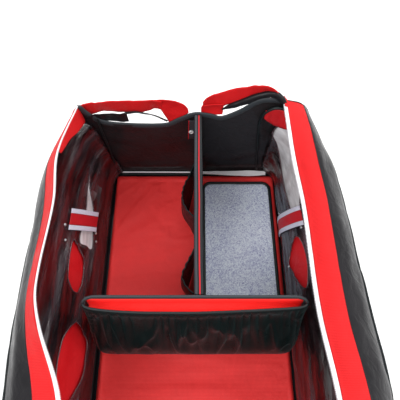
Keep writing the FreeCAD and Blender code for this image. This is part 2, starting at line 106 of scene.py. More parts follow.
def field(rows, cols):
    """Two grids of values, one changing by row and one by column, each from its (start, end, count)."""
    return np.meshgrid(np.linspace(*rows), np.linspace(*cols), indexing="ij")


def unit(v):
    return v / np.linalg.norm(v, axis=-1, keepdims=True)


def sample(values, t):
    """An array's rows at the fractional row numbers t."""
    return np.stack([np.interp(t, range(len(values)), values[:, k]) for k in range(3)], 1)


def between(table, y):
    """The control points at y, eased from one station of the table to the next."""
    keys = sorted(table)
    y = min(max(y, keys[0]), keys[-1])
    i = max(k for k in range(len(keys) - 1) if keys[k] <= y)
    rows = {k: np.array(table[k], float) for k in keys}

    def slope(k):
        a, b = keys[max(k - 1, 0)], keys[min(k + 1, len(keys) - 1)]
        return (rows[b] - rows[a]) / (b - a)

    span = keys[i + 1] - keys[i]
    t = (y - keys[i]) / span
    curve = rows[keys[i]] + (rows[keys[i + 1]] - rows[keys[i]]) * (3 * t ** 2 - 2 * t ** 3)
    return curve + (slope(i) * (t ** 3 - 2 * t ** 2 + t) + slope(i + 1) * (t ** 3 - t ** 2)) * span


def smooth(points, steps=12):
    """A Catmull-Rom curve through points of any dimension, as a fine polyline."""
    p = np.array(points, float)
    p = np.vstack([2 * p[0] - p[1], p, 2 * p[-1] - p[-2]])
    t = (np.arange(steps) / steps)[:, None]
    out = []
    for a, b, c, d in zip(p, p[1:], p[2:], p[3:]):
        square, cube = 2 * a - 5 * b + 4 * c - d, 3 * b - a - 3 * c + d
        out.append(0.5 * (2 * b + (c - a) * t + square * t ** 2 + cube * t ** 3))
    return np.vstack([*out, p[-2:-1]])


def lengths(line):
    return np.concatenate([[0.0], np.cumsum(np.linalg.norm(np.diff(line, axis=0), axis=1))])


def at(line, s):
    """Points of a polyline at the distances s along it."""
    run = lengths(line)
    return np.stack([np.interp(s, run, line[:, k]) for k in range(line.shape[1])], axis=-1)


def spread(line, count):
    """A polyline's points, evenly spaced."""
    return at(line, np.linspace(0, lengths(line)[-1], count))


def wall_line(side, y):
    """The wall's outer curve at y, from the mouth down to the base seam."""
    return smooth(between(RIGHT_WALL if side == RIGHT else LEFT_WALL, y))[::-1]


def inward(side, line, s):
    """Unit normals towards the inside of the bag, at distances s down a cross-section curve."""
    d = unit(at(line, np.asarray(s) + 1.0) - at(line, np.asarray(s) - 1.0))
    return np.stack([-d[..., 1], d[..., 0]] if side == LEFT else [d[..., 1], -d[..., 0]], axis=-1)


def lining_line(side, y):
    """The lining's curve at y, from the floor pad's edge up to under the band. It rounds the corners."""
    edge = np.array([MOUTH])
    wall = wall_line(side, y)
    under = at(wall, edge) + inward(side, wall, edge) * 5.9
    line = smooth(np.vstack([between(RIGHT_LINING if side == RIGHT else LEFT_LINING, y), under]))
    deep, start = (-34, 392) if side == RIGHT else (27, 404)
    turn = min(max((abs(y) - start) / (447.5 - start), 0), 1)
    line[:, 0] += deep * (1 - math.sqrt(1 - turn ** 2)) * (1 - 0.9 * ease(line[:, 1], 215, 285))
    return line


def noise(u, v, seed):
    """Smooth values from -1 to 1, about one bump per unit of u and v."""
    lattice = np.random.default_rng(seed).uniform(-1, 1, (97, 97))
    u, v = np.broadcast_arrays(np.asarray(u, float), np.asarray(v, float))
    i, j = np.floor(u).astype(int), np.floor(v).astype(int)
    a, b = u - i, v - j
    a, b = a * a * (3 - 2 * a), b * b * (3 - 2 * b)

    def corner(p, q):
        return lattice[p % 97, q % 97]

    low = corner(i, j) * (1 - a) + corner(i + 1, j) * a
    high = corner(i, j + 1) * (1 - a) + corner(i + 1, j + 1) * a
    return low * (1 - b) + high * b


def ease(t, start, end):
    """0 before start, 1 after end, and smooth between them."""
    t = np.clip((np.asarray(t, float) - start) / (end - start), 0, 1)
    return t * t * (3 - 2 * t)


# ---- pieces ------------------------------------------------------------------------------------
def piece(name, verts, faces, material, body="bag_body", slot=None, replaces=(), uv=None):
    """One mesh object from points in millimetres, riding on a body."""
    mesh = bpy.data.meshes.new(name)
    mesh.from_pydata((np.asarray(verts) * MM).tolist(), [], [list(map(int, f)) for f in faces])
    mesh.validate()
    if uv is not None:
        layer = mesh.uv_layers.new(name="cloth")
        loops = np.empty(len(mesh.loops), int)
        mesh.loops.foreach_get("vertex_index", loops)
        layer.data.foreach_set("uv", (np.asarray(uv)[loops] * MM).ravel())
    mesh.polygons.foreach_set("use_smooth", [True] * len(mesh.polygons))
    obj = bpy.data.objects.new(name, mesh)
    bpy.context.scene.collection.objects.link(obj)
    mesh.materials.append(material)
    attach(obj, body)
    if replaces:
        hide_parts(*replaces)
    return obj


def grid_normals(p):
    """Unit normals of a grid of points."""
    du, dv = np.gradient(p, axis=0), np.gradient(p, axis=1)
    n = np.cross(du, dv)
    return n / np.maximum(np.linalg.norm(n, axis=-1, keepdims=True), 1e-9)


def cloth(name, grid, thickness, material, keep=None, normals=None, held=None, rests_on=(), **how):
    grid = np.asarray(grid, float)
    rows, cols = grid.shape[:2]
    normals = grid_normals(grid) if normals is None else normals
    half = normals * (thickness / 2)
    verts = np.vstack([(grid + half).reshape(-1, 3), (grid - half).reshape(-1, 3)])
    index = np.arange(rows * cols).reshape(rows, cols)
    keep = np.ones((rows - 1, cols - 1), bool) if keep is None else keep
    a, b, c, d = (m[keep] for m in (index[:-1, :-1], index[1:, :-1], index[1:, 1:], index[:-1, 1:]))
    back = rows * cols
    faces = [*np.stack([a, b, c, d], 1), *np.stack([d, c, b, a], 1) + back]
    pad = np.pad(keep, 1)
    for shift, (p, q) in (((-1, 0), (0, 3)), ((1, 0), (2, 1)), ((0, -1), (1, 0)), ((0, 1), (3, 2))):
        open_side = keep & ~pad[1 + shift[0]:rows + shift[0], 1 + shift[1]:cols + shift[1]]
        corners = [index[:-1, :-1], index[1:, :-1], index[1:, 1:], index[:-1, 1:]]
        start, end = corners[p][open_side], corners[q][open_side]
        faces.extend(np.stack([start, end, end + back, start + back], 1))
    u = np.concatenate([[0], np.cumsum(np.linalg.norm(np.diff(grid[:, cols // 2], axis=0), axis=1))])
    v = np.concatenate([[0], np.cumsum(np.linalg.norm(np.diff(grid[rows // 2], axis=0), axis=1))])
    uv = np.stack(np.meshgrid(u, v, indexing="ij"), -1).reshape(-1, 2)
    obj = piece(name, verts, faces, material, uv=np.vstack([uv, uv]), **how)
    drop_loose(obj)
    return obj


def drop_loose(obj):
    """Takes away the points that no face uses."""
    bm = bmesh.new()
    bm.from_mesh(obj.data)
    bmesh.ops.delete(bm, geom=[v for v in bm.verts if not v.link_faces], context="VERTS")
    bmesh.ops.recalc_face_normals(bm, faces=bm.faces)
    bm.to_mesh(obj.data)
    bm.free()


def quads(rows, cols):
    """The cells of a grid of points, as the numbers of their corners."""
    index = np.arange(rows * cols).reshape(rows, cols)
    return np.stack([index[:-1, :-1], index[1:, :-1], index[1:, 1:], index[:-1, 1:]], -1)


def rings(count, around):
    """The cells between closed rings of points."""
    return [(i + k, i + (k + 1) % around, i + around + (k + 1) % around, i + around + k)
            for i in range(0, (count - 1) * around, around) for k in range(around)]


def frames(line, up=(0, 0, 1)):
    """Tangents, and two directions square to them, along a polyline."""
    t = unit(np.gradient(line, axis=0))
    a = np.cross(t, np.broadcast_to(np.array(up, float), t.shape))
    a /= np.maximum(np.linalg.norm(a, axis=1, keepdims=True), 1e-6)
    return t, a, np.cross(a, t)


def tube(line, radius, around=8, squash=1.0, up=(0, 0, 1), caps=True):
    """Points and faces of a tube along a polyline. radius is one number or one for each point."""
    line = np.asarray(line, float)
    _, a, b = frames(line, up)
    r = np.broadcast_to(np.asarray(radius, float), (len(line),))[:, None, None]
    turn = np.linspace(0, 2 * math.pi, around, endpoint=False)
    ring = a[:, None] * np.cos(turn)[None, :, None] + b[:, None] * (np.sin(turn) * squash)[None, :, None]
    verts = (line[:, None] + ring * r).reshape(-1, 3)
    faces = rings(len(line), around)
    if caps:
        faces += [tuple(range(around))[::-1], tuple(range(len(verts) - around, len(verts)))]
    return verts, faces


def merged(parts):
    """Several (points, faces) as one."""
    verts, faces, base = [], [], 0
    for v, f in parts:
        verts.append(v)
        faces.extend([tuple(i + base for i in face) for face in f])
        base += len(v)
    return np.vstack(verts), faces


def ribbon(name, path, across, thickness, material, steps=96, ripple=0.0, cols=9, **how):
    """A band through given points. across is the vector from its lower to its upper edge at each."""
    line, wide = smooth(path, 16), smooth(across, 16)
    n = np.linspace(0, len(line) - 1, steps)
    t = np.linspace(-0.5, 0.5, cols)
    grid = sample(line, n)[:, None] + sample(wide, n)[:, None] * t[None, :, None]
    if ripple:
        bump = ripple * noise(n[:, None] / 9, t[None] * 1.2 + 40, 5)
        grid = grid + grid_normals(grid) * bump[..., None]
    return cloth(name, grid, thickness, material, **how)


def settle(verts, faces, sewn, pressure=0.0, grow=0.0, gravity=0.0, cap=4.0, frames=15):
    """Where a cloth simulation brings points (mm) to rest, none of them much more than cap from its start.
    sewn is how firmly each is held in place, from 0 to 1. grow is how much bigger the cloth was cut."""
    scene = bpy.context.scene
    mesh = bpy.data.meshes.new("trial")
    mesh.from_pydata((verts * MM).tolist(), [], [list(map(int, f)) for f in faces])
    trial = bpy.data.objects.new("trial", mesh)
    scene.collection.objects.link(trial)
    group = trial.vertex_groups.new(name="sewn")
    for weight in np.unique(np.round(sewn, 2)):
        group.add(np.nonzero(np.round(sewn, 2) == weight)[0].tolist(), float(weight), "REPLACE")
    sim = trial.modifiers.new("cloth", "CLOTH")
    sim.settings.quality = 4
    sim.settings.mass = 0.15
    sim.settings.vertex_group_mass = "sewn"
    sim.settings.bending_stiffness = 0.2
    sim.settings.shrink_min = -grow
    sim.settings.use_pressure = pressure > 0
    sim.settings.uniform_pressure_force = pressure
    sim.settings.effector_weights.gravity = gravity
    sim.collision_settings.use_collision = False
    sim.point_cache.frame_end = frames
    for frame_number in range(1, frames + 1):
        scene.frame_set(frame_number)
    result = trial.evaluated_get(bpy.context.evaluated_depsgraph_get()).data
    moved = np.empty(len(verts) * 3)
    result.vertices.foreach_get("co", moved)
    bpy.data.objects.remove(trial)
    bpy.data.meshes.remove(mesh)
    scene.frame_set(1)
    move = moved.reshape(-1, 3) / MM - verts
    size = np.maximum(np.linalg.norm(move, axis=1, keepdims=True), 1e-6)
    return verts + move / size * cap * np.tanh(size / cap)


def settle_grid(grid, sewn, **how):
    """settle() for one sheet, given as a grid of points."""
    faces = quads(*grid.shape[:2]).reshape(-1, 4)
    return settle(grid.reshape(-1, 3), faces, sewn.ravel(), **how).reshape(grid.shape)


# ---- materials ---------------------------------------------------------------------------------
def add(tree, kind, inputs=None, out=0, **settings):
    """A shader node. inputs gives its sockets numbers, colours or other nodes' outputs."""
    node = tree.nodes.new("ShaderNode" + kind)
    for key, value in settings.items():
        setattr(node, key, value)
    for key, value in (inputs or {}).items():
        if isinstance(value, bpy.types.NodeSocket):
            tree.links.new(value, node.inputs[key])
        else:
            node.inputs[key].default_value = value
    return node.outputs[out]


def base_material(name, rough, sockets, out=3):
    """A material, its tree, its shader and its pattern's place: out is 2 for the UV and 3 for the object."""
    mat = bpy.data.materials.new(name)
    mat.use_nodes = True
    bsdf = mat.node_tree.nodes["Principled BSDF"]
    bsdf.inputs["Roughness"].default_value = rough
    for key, value in sockets.items():
        bsdf.inputs[key].default_value = value
    return mat, mat.node_tree, bsdf, add(mat.node_tree, "TexCoord", out=out)


def blotches(tree, place, scale, detail, **more):
    return add(tree, "TexNoise", {"Vector": place, "Scale": scale, "Detail": detail, **more})


def remap(tree, value, low, high, to_low=0.0, to_high=1.0):
    return add(tree, "MapRange", {0: value, 1: low, 2: high, 3: to_low, 4: to_high})


def blend(tree, share, first, second):
    return add(tree, "Mix", {0: share, 2: first, 3: second}, data_type="FLOAT")


def colour_by(tree, bsdf, tone, dark, light):
    colour = add(tree, "Mix", {0: tone, 6: (*dark, 1.0), 7: (*light, 1.0)}, out=2, data_type="RGBA")
    tree.links.new(colour, bsdf.inputs["Base Color"])


def relief(tree, bsdf, strength, distance, height, **under):
    bump = add(tree, "Bump", {"Strength": strength, "Distance": distance, "Height": height, **under})
    tree.links.new(bump, bsdf.inputs["Normal"])
    return bump


def woven(name, dark, light, rough=0.7, threads=(1.2, 1.2), height=0.3, mottle=45.0, share=0.5, crease=0.0,
          on="UV", gloss=0.12, **sockets):
    """Cloth: two sets of threads (pitch in mm), a slow change of tone (size in mm), and soft creases."""
    mat, tree, bsdf, place = base_material(name, rough, sockets, {"UV": 2, "Object": 3}[on])
    waves = [add(tree, "TexWave", {"Vector": place, "Scale": 314.0 / pitch, "Distortion": 0.35,
                                   "Detail": 1.0}, out=1, bands_direction=axis)
             for pitch, axis in zip(threads, "XY")]
    weave = add(tree, "Math", {0: waves[0], 1: waves[1]}, operation="MULTIPLY")
    slow = blotches(tree, place, 1000.0 / mottle, 5.0, Roughness=0.62)
    tone = blend(tree, 0.25, blend(tree, share, weave, slow), blotches(tree, place, 900.0, 2.0))
    colour_by(tree, bsdf, remap(tree, tone, 0.25, 0.72), dark, light)
    tree.links.new(remap(tree, slow, 0.3, 0.7, rough - gloss, rough + gloss), bsdf.inputs["Roughness"])
    fine = relief(tree, bsdf, height, 0.0006, weave)
    if crease:
        relief(tree, bsdf, crease, 0.004, blotches(tree, place, 26.0, 3.0, Distortion=1.4), Normal=fine)
    return mat


def hard(name, dark, light, rough, metallic=0.0, brushed=0.0, **sockets):
    """Moulded plastic or plated metal, with fine grain and rubbed patches."""
    mat, tree, bsdf, place = base_material(name, rough, {"Metallic": metallic, **sockets})
    height = blotches(tree, place, 1400.0, 3.0)
    worn = blotches(tree, place, 90.0, 6.0, Roughness=0.7)
    colour_by(tree, bsdf, remap(tree, worn, 0.35, 0.65), dark, light)
    tree.links.new(remap(tree, worn, 0.3, 0.7, rough * 0.7, rough * 1.25), bsdf.inputs["Roughness"])
    if brushed:
        height = add(tree, "TexWave", {"Vector": place, "Scale": 900.0, "Distortion": 2.0, "Detail": 3.0},
                     out=1)
    relief(tree, bsdf, 0.12 + brushed, 0.0003, height)
    return mat


def heather(name):
    """Felt of mixed pale and blue-grey fibres."""
    mat, tree, bsdf, place = base_material(name, 0.95, {"Sheen Weight": 0.35, "Sheen Roughness": 0.6})
    fibres = blotches(tree, place, 300.0, 6.0, Roughness=0.7)
    flecks = blotches(tree, place, 150.0, 3.0, Distortion=2.6)
    mixed = blend(tree, 0.1, blend(tree, 0.5, fibres, flecks), blotches(tree, place, 11.0, 2.0))
    colour_by(tree, bsdf, remap(tree, mixed, 0.38, 0.56), (0.22, 0.25, 0.52), (0.84, 0.91, 1.0))
    relief(tree, bsdf, 0.5, 0.0012, fibres)
    return mat


def film(name, dark, light, alpha, rough, crease, streak=1.0):
    """Clear or smoky sheet film, rippled. Its cover changes in streaks along the sheet, and so does its
    tone, which is painted light: highlights on the smoky film, shade lines on the frosted one.
    """
    mat, tree, bsdf, flat = base_material(
        name, rough, {"Specular IOR Level": 0.7, "Coat Weight": 0.5, "Coat Roughness": 0.1}, 2)
    place = add(tree, "VectorMath", {0: flat, 1: (streak, 1.0, 1.0)}, operation="MULTIPLY")
    # Painted light: the tone streaks are painted highlights on smoky film and painted shade lines on frosted
    # film.
    slow = blotches(tree, place, 26.0, 4.0, Distortion=0.8)
    colour_by(tree, bsdf, remap(tree, slow, 0.42, 0.72), dark, light)
    cover = blotches(tree, place, 17.0, 3.0, Distortion=1.2)
    tree.links.new(remap(tree, cover, 0.32, 0.62, alpha - 0.4, alpha + 0.1), bsdf.inputs["Alpha"])
    tree.links.new(remap(tree, slow, 0.3, 0.7, rough * 0.7, rough * 1.6), bsdf.inputs["Roughness"])
    relief(tree, bsdf, crease, 0.006, blotches(tree, place, 48.0, 3.0, Distortion=1.6))
    return mat


SPEC = "Specular IOR Level"


def tarpaulin(name, dark, light, specular, coat_rough):
    return woven(name, dark, light, 0.42, (1.6, 1.6), 0.2, 60, 0.7, 0.8,
                 **{SPEC: specular, "Coat Weight": 0.3, "Coat IOR": 1.35, "Coat Roughness": coat_rough})


TARP = tarpaulin("coated_tarpaulin", (0.005, 0.005, 0.006), (0.020, 0.018, 0.021), 0.08, 0.09)
LINED_TARP = tarpaulin("lined_tarpaulin", (0.0065, 0.0058, 0.0063), (0.023, 0.020, 0.022), 0.12, 0.12)
BAND = woven("red_grosgrain", (0.52, 0.006, 0.008), (0.74, 0.016, 0.018), 0.6, (2.4, 1.0), 0.5, 30, 0.35,
             **{SPEC: 0.2})
CHAIN = woven("white_zip_tape", (0.76, 0.76, 0.79), (0.93, 0.93, 0.95), 0.45, (1.4, 1.0), 0.4, 25, 0.4)
COIL = hard("white_zip_coil", (0.78, 0.78, 0.81), (0.94, 0.94, 0.96), 0.3)
FLOOR_RED = woven("floor_nylon", (0.72, 0.026, 0.026), (0.97, 0.055, 0.055), 0.55, (2.6, 2.6), 0.6, 55,
                  0.55, 0.3, on="Object", **{SPEC: 0.25})
LINING_RED = woven("lining_nylon", (0.55, 0.006, 0.010), (0.80, 0.018, 0.024), 0.5, (1.6, 1.6), 0.4, 40,
                   0.6, 0.4, **{SPEC: 0.3})
BRIGHT_RED = woven("pocket_nylon", (0.92, 0.040, 0.036), (1.0, 0.075, 0.065), 0.6, (1.6, 1.6), 0.4, 40,
                   0.5, 0.15, **{SPEC: 0.2})
SATIN = woven("black_satin", (0.0015, 0.0035, 0.0035), (0.0035, 0.0075, 0.0075), 0.35, (0.9, 0.9), 0.2, 30,
              0.6, **{SPEC: 0.07, "Sheen Weight": 0.06, "Sheen Tint": (0.5, 0.8, 0.82, 1.0)})
PADDED = woven("padded_nylon", (0.020, 0.022, 0.026), (0.052, 0.056, 0.064), 0.6, (1.4, 1.4), 0.5, 35,
               0.5, 0.2, **{SPEC: 0.3})
BINDING = woven("ribbed_binding", (0.022, 0.027, 0.032), (0.075, 0.085, 0.096), 0.55, (2.0, 0.9), 0.7, 25,
                0.4, **{SPEC: 0.35})
EDGING = woven("black_edging", (0.005, 0.009, 0.010), (0.016, 0.024, 0.026), 0.45, (1.8, 0.9), 0.6, 25,
               0.4, **{SPEC: 0.3})
WEBBING = woven("polyester_webbing", (0.008, 0.008, 0.009), (0.028, 0.028, 0.030), 0.65, (2.2, 1.2), 0.9,
                30, 0.3, **{SPEC: 0.3})
WHITE_STRIPE = woven("white_webbing", (0.56, 0.54, 0.68), (0.88, 0.86, 0.95), 0.4, (2.0, 1.1), 0.6, 12, 0.5)
RED_STRIPE = woven("red_webbing", (0.45, 0.006, 0.014), (0.68, 0.018, 0.026), 0.5, (2.0, 1.1), 0.6, 14,
                   0.5, **{SPEC: 0.3})
MESH = woven("smoky_mesh", (0.010, 0.008, 0.010), (0.055, 0.040, 0.046), 0.4, (2.2, 2.2), 0.9, 30, 0.3, 0.3,
             Alpha=0.82)
FELT = heather("heather_felt")
# The smoky film's lighter, grey-purple streaks are painted highlights.
SMOKE = film("smoky_film", (0.010, 0.006, 0.007), (0.075, 0.055, 0.064), 0.82, 0.2, 0.8, 0.22)
# The frosted film's grey streaks are painted shade lines.
FROST = film("frosted_film", (0.64, 0.62, 0.64), (0.96, 0.95, 0.97), 0.97, 0.3, 0.4, 0.5)
HEM = film("film_hem", (0.10, 0.05, 0.06), (0.34, 0.24, 0.27), 0.9, 0.25, 0.2)
PLASTIC = hard("black_plastic", (0.012, 0.012, 0.013), (0.028, 0.028, 0.030), 0.45)
SNAP = hard("white_snap", (0.70, 0.70, 0.70), (0.88, 0.88, 0.88), 0.3, 0.2)
METAL = hard("plated_metal", (0.36, 0.36, 0.38), (0.62, 0.62, 0.64), 0.3, 1.0, 0.2)
THREAD_RED, THREAD_BLACK = (
    woven(name, dark, light, rough, (0.6, 0.6), 0.3, 8, 0.4, on="Object")
    for name, dark, light, rough in (("red_thread", (0.50, 0.01, 0.01), (0.8, 0.03, 0.03), 0.6),
                                     ("black_thread", (0.01, 0.01, 0.011), (0.05, 0.05, 0.055), 0.55)))


# ---- outer walls, bands and zips ---------------------------------------------------------------
WALL_YS = np.linspace(-HALF_LENGTH, HALF_LENGTH, 181)
MOUTH = CHAIN_WIDTH + BAND_WIDTH      # where the black wall starts, down from the zip's edge
SEAM_AT = MOUTH + SHOULDER_WIDTH
COIL_PITCH = 2.6


def wall_swell(y, s, seed):
    """How far a wall stands off its smooth curve: long soft folds, and small creases among them."""
    folds = 3.6 * noise(y / 150, s / 34, seed) + 1.6 * noise(y / 46 + 9, s / 24, seed + 1)
    drag = 1.7 * np.abs(noise((y + s * 0.8) / 60, (s - y * 0.15) / 55, seed + 2)) ** 0.5
    return (folds + drag) * ease(HALF_LENGTH - np.abs(y), 0, 60) * ease(s, MOUTH, SEAM_AT)


def wall_grid(side, s0, s1, count, depth=0.0, swell=True, ys=WALL_YS):
    """A grid on a wall, from s0 to s1 down from the mouth. Negative ones are counted from the base seam."""
    grid, normals = [], []
    for y in ys:
        line = wall_line(side, y)
        total = lengths(line)[-1]
        s = np.linspace(*(v if v > 0 else total + v for v in (s0, s1)), count)
        n = inward(side, line, s)
        out = wall_swell(y, s, 11 if side == LEFT else 31) * ease(total - s, 0, 70) if swell else 0 * s
        p = at(line, s) + n * (depth - out)[:, None]
        grid.append(xyz(p[:, 0], y, p[:, 1]))
        normals.append(xyz(n[:, 0], 0, n[:, 1]))
    return np.array(grid), np.array(normals)


def stitches(name, line, normals, pitch, material, body="bag_body", lift=0.5, size=0.55):
    """A row of thread stitches lying on a surface along a polyline."""
    along = lengths(line)
    count = max(int(along[-1] / pitch), 2)
    mids = (np.arange(count) + 0.5) * along[-1] / count
    verts, faces = [], []
    for s in mids:
        a, b = at(line, [s - pitch * 0.34, s + pitch * 0.34])
        n = normals[int(np.interp(s, along, np.arange(len(line))))]
        side = np.cross(b - a, n)
        side /= max(np.linalg.norm(side), 1e-6)
        base = len(verts)
        for p, rise in ((a, 0.0), ((a * 3 + b) / 4, 1.0), ((a + b * 3) / 4, 1.0), (b, 0.0)):
            w = size * (0.5 + 0.5 * rise)
            verts += [p + side * w - n * 0.4, p + n * lift * rise, p - side * w - n * 0.4]
        for i in (0, 3, 6):
            j = base + i
            faces += [(j, j + 1, j + 4, j + 3), (j + 1, j + 2, j + 5, j + 4), (j + 2, j, j + 3, j + 5)]
        faces += [(base, base + 2, base + 1), (base + 9, base + 10, base + 11)]
    return piece(name, verts, faces, material, body=body)


def outer_walls():
    for side, _ in SIDES:
        shoulder, n = wall_grid(side, MOUTH, SEAM_AT, 26, 0.5 * WALL)
        cloth(f"shoulder_{side}", shoulder, WALL, TARP, normals=n, slot="coated_black",
              replaces=[f"shoulder_panel_{side}"], held="stretched", rests_on=[f"band_{side}"])
        wall, n = wall_grid(side, SEAM_AT + 0.4, -0.5, 72, 0.5 * WALL)
        cloth(f"side_{side}", wall, WALL, TARP, normals=n, slot="coated_black",
              replaces=[f"side_panel_{side}"], held="stretched",
              rests_on=[f"shoulder_{side}", "bottom_skin"])
        seam, n = wall_grid(side, SEAM_AT - 0.5, SEAM_AT + 0.5, 3)
        piece(f"wall_piping_{side}", *tube(seam[:, 1] - n[:, 1], 2.0, 8), EDGING, slot="coated_black")
        for k, s in enumerate((SEAM_AT - 7, SEAM_AT + 7)):
            row, n = wall_grid(side, s, s + 0.5, 2, 0.0)
            stitches(f"wall_stitching_{side}_{k}", row[:, 0], -n[:, 0], 6.0, THREAD_BLACK)


def zip_bands():
    for side, _ in SIDES:
        band, n = wall_grid(side, CHAIN_WIDTH + 0.2, MOUTH - 0.1, 17, 1.0, swell=False)
        across = np.linspace(0, 1, 17)[None, :]
        y = band[..., 1]
        lift = 0.7 * noise(y / 60, across * 2, 50) + 0.5 * noise(y / 17, across * 2.5, 51)
        lift += 1.1 * np.exp(-((across - 0.03) / 0.05) ** 2)
        band = band - n * lift[..., None]
        cloth(f"band_{side}", band, 2.0, BAND, normals=n, slot="band_red", replaces=[f"zip_band_{side}"])
        for k, col in enumerate((1, 15)):
            stitches(f"band_stitching_{side}_{k}", band[:, col] - n[:, col], -n[:, col], 4.5, THREAD_RED)
        tape, n = wall_grid(side, 1.2, CHAIN_WIDTH + 0.4, 6, 1.0, swell=False)
        cloth(f"zip_tape_{side}", tape, 1.6, CHAIN, normals=n, slot="zip_white",
              replaces=[f"zip_chain_{side}"])
        coil(side)


def coil(side):
    """The zip's nylon coil along the mouth edge: a flattened helix, one turn for each tooth."""
    edge, n = wall_grid(side, 1.6, 3.2, 3, 1.0, swell=False)
    turns, points = int(2 * HALF_LENGTH / COIL_PITCH), 7
    t = np.linspace(0, len(edge) - 1, turns * points)
    down = sample(unit(edge[:, 2] - edge[:, 0]), t)
    turn = np.linspace(0, 2 * math.pi * turns, turns * points)[:, None]
    line = sample(edge[:, 0], t) + down * np.cos(turn) * 1.9 - sample(n[:, 0], t) * np.sin(turn) * 1.5
    piece(f"zip_coil_{side}", *tube(line, 0.55, 5), COIL, slot="zip_white")


# The band past each corner: its lower edge, and the vector from there to its upper edge.
LEFT_LOOP = [
    ((-264, 330, 302), (-3, 0, 6)), ((-256, 372, 288), (-7, 0, 16)), ((-245, 406, 273), (-11, 0, 29)),
    ((-241, 432, 262), (-9, 0, 37)), ((-244, 450, 253), (-4, 1, 41)), ((-241, 459, 250), (0, 1, 41)),
    ((-230, 463, 254), (0, -2, 41)), ((-216, 464, 261), (0, -7, 40)), ((-200, 465, 265), (0, -10, 40)),
    ((-180, 464, 265), (0, -6, 41)), ((-158, 463, 263), (0, -4, 41)), ((-134, 462, 262), (0, -2, 41)),
    ((-115, 463, 264), (0, -4, 41)), ((-98, 464, 270), (0, -8, 40)), ((-84, 464, 274), (0, -10, 38)),
    ((-72, 462, 272), (2, -8, 37)),
]
RIGHT_LOOP = [
    ((222, 436, 298), (-37, 0, 18)), ((212, 452, 296), (-28, 2, 26)), ((197, 462, 287), (-12, -8, 36)),
    ((180, 467, 288), (0, -16, 37)), ((168, 467, 301), (0, -14, 38)), ((152, 467, 313), (0, -13, 39)),
    ((138, 466, 315), (0, -11, 39)), ((124, 464, 311), (0, -6, 41)), ((104, 461, 303), (0, 0, 41)),
    ((84, 460, 298), (0, 2, 41)), ((62, 460, 289), (0, 3, 41)), ((42, 460, 284), (0, 1, 40)),
    ((26, 461, 278), (0, -3, 38)), ((17, 460, 272), (0, -6, 34)),
]


def end_ribbon(name, end, low, wide, thickness, material, ripple, slot, **how):
    """A ribbon given for the far end by its lower edge and the vectors across it, or its mirror image."""
    turn = np.array([1, end, 1])
    low, wide = np.array(low) * turn, np.array(wide) * turn
    ribbon(name, low + wide / 2, wide, thickness, material, ripple=ripple, slot=slot, **how)


def end_loops():
    """The band past each corner: a standing loop that twists as it goes."""
    for end, name in ENDS:
        for side, loop in ((LEFT, LEFT_LOOP), (RIGHT, RIGHT_LOOP)):
            end_ribbon(f"loop_{side}_{name}", end, *zip(*loop), 1.8, BAND, 1.2, "band_red", cols=11,
                       steps=130, replaces=[f"end_loop_{side}_{name}"])


def band_feet():
    """The band's last stretch, folded down over the end panel's top edge and sewn."""
    left = [[(-58, 237), (-48, 241), (-31, 254), (-14, 269)],
            [(-66, 257), (-52, 262), (-34, 272), (-15, 280)],
            [(-75, 280), (-58, 285), (-40, 289), (-21, 291)],
            [(-85, 299), (-66, 302), (-48, 301), (-31, 300)],
            [(-90, 311), (-74, 312), (-58, 311), (-42, 308)]]
    right = [[(14, 262), (30, 262), (45, 264), (60, 265)], [(13, 273), (29, 273), (45, 274), (61, 275)],
             [(13, 284), (29, 285), (45, 286), (61, 286)], [(15, 293), (30, 296), (45, 298), (61, 298)]]
    for end, name in ENDS:
        for side, rows in ((LEFT, left), (RIGHT, right)):
            rows = np.array([smooth(r, 6) for r in rows])
            cols = np.stack([smooth(rows[:, k], 8) for k in range(rows.shape[1])], 1)
            bulge = 2.2 * np.sin(np.linspace(0, math.pi, cols.shape[0]))[:, None]
            bulge = bulge + 0.8 * noise(cols[..., 0] / 14, cols[..., 1] / 12, 77)
            grid = xyz(cols[..., 0], end * (HALF_LENGTH + 5.5 + bulge), cols[..., 1])
            cloth(f"band_foot_{side}_{name}", grid, 1.8, BAND, slot="band_red")


def corner_slack():
    """The end panel's loose fabric by its corners: a flap with a narrow arched strip, and a soft roll."""
    for end, name in ENDS:
        end_ribbon(f"corner_flap_{name}", end,
                   [(-240, 449, 236), (-222, 454, 236), (-200, 455, 240), (-172, 455, 240),
                    (-148, 455, 240)],
                   [(4, -3, 36), (2, -4, 33), (0, -5, 33), (0, -6, 34), (0, -6, 36)],
                   1.4, TARP, 2.2, "coated_black", cols=13)
        end_ribbon(f"corner_strip_{name}", end,
                   [(-152, 455, 266), (-130, 456, 268), (-104, 456, 263), (-82, 456, 253), (-64, 455, 240)],
                   [(0, -3, 11), (0, -4, 10), (0, -4, 9), (2, -4, 8), (4, -3, 6)],
                   1.4, TARP, 0.8, "coated_black")
        end_ribbon(f"corner_lining_{name}", end,
                   [(151, 446.5, 262), (164, 446, 248), (180, 443.5, 238), (194, 437, 238), (203, 428, 246)],
                   [(0, 0, 26), (0, 0, 46), (0, 1, 56), (0, 0, 54), (0, 0, 42)],
                   1.0, LINING_RED, 0.9, "lining_red")
        path = end_path(end, (58, 456, 281), (74, 457, 289), (104, 457, 305), (134, 457, 322),
                        (160, 455, 330), (178, 449, 322), (190, 441, 305))
        along = np.linspace(0, 1, len(path))
        fat = 2.0 + 6.0 * ease(along, 0.0, 0.3) - 3.0 * ease(along, 0.75, 1.0)
        fat = fat + 0.7 * noise(along * 14, 0.0, 140)
        piece(f"corner_roll_{name}", *tube(path, fat, 16, 0.8, up=(0, end, 0)), TARP, slot="coated_black")


def end_path(end, *points):
    """A curve given by its points at the far end, or its mirror image."""
    return smooth(np.array(points) * np.array([1, end, 1]), 16)


# ---- end walls ---------------------------------------------------------------------------------
def top_edge():
    """The end panel's slack top edge, from the left mouth corner to the right one, as (x, z)."""
    return smooth([(-248, 300), (-232, 272), *END_TOP, (182, 318)], 10)


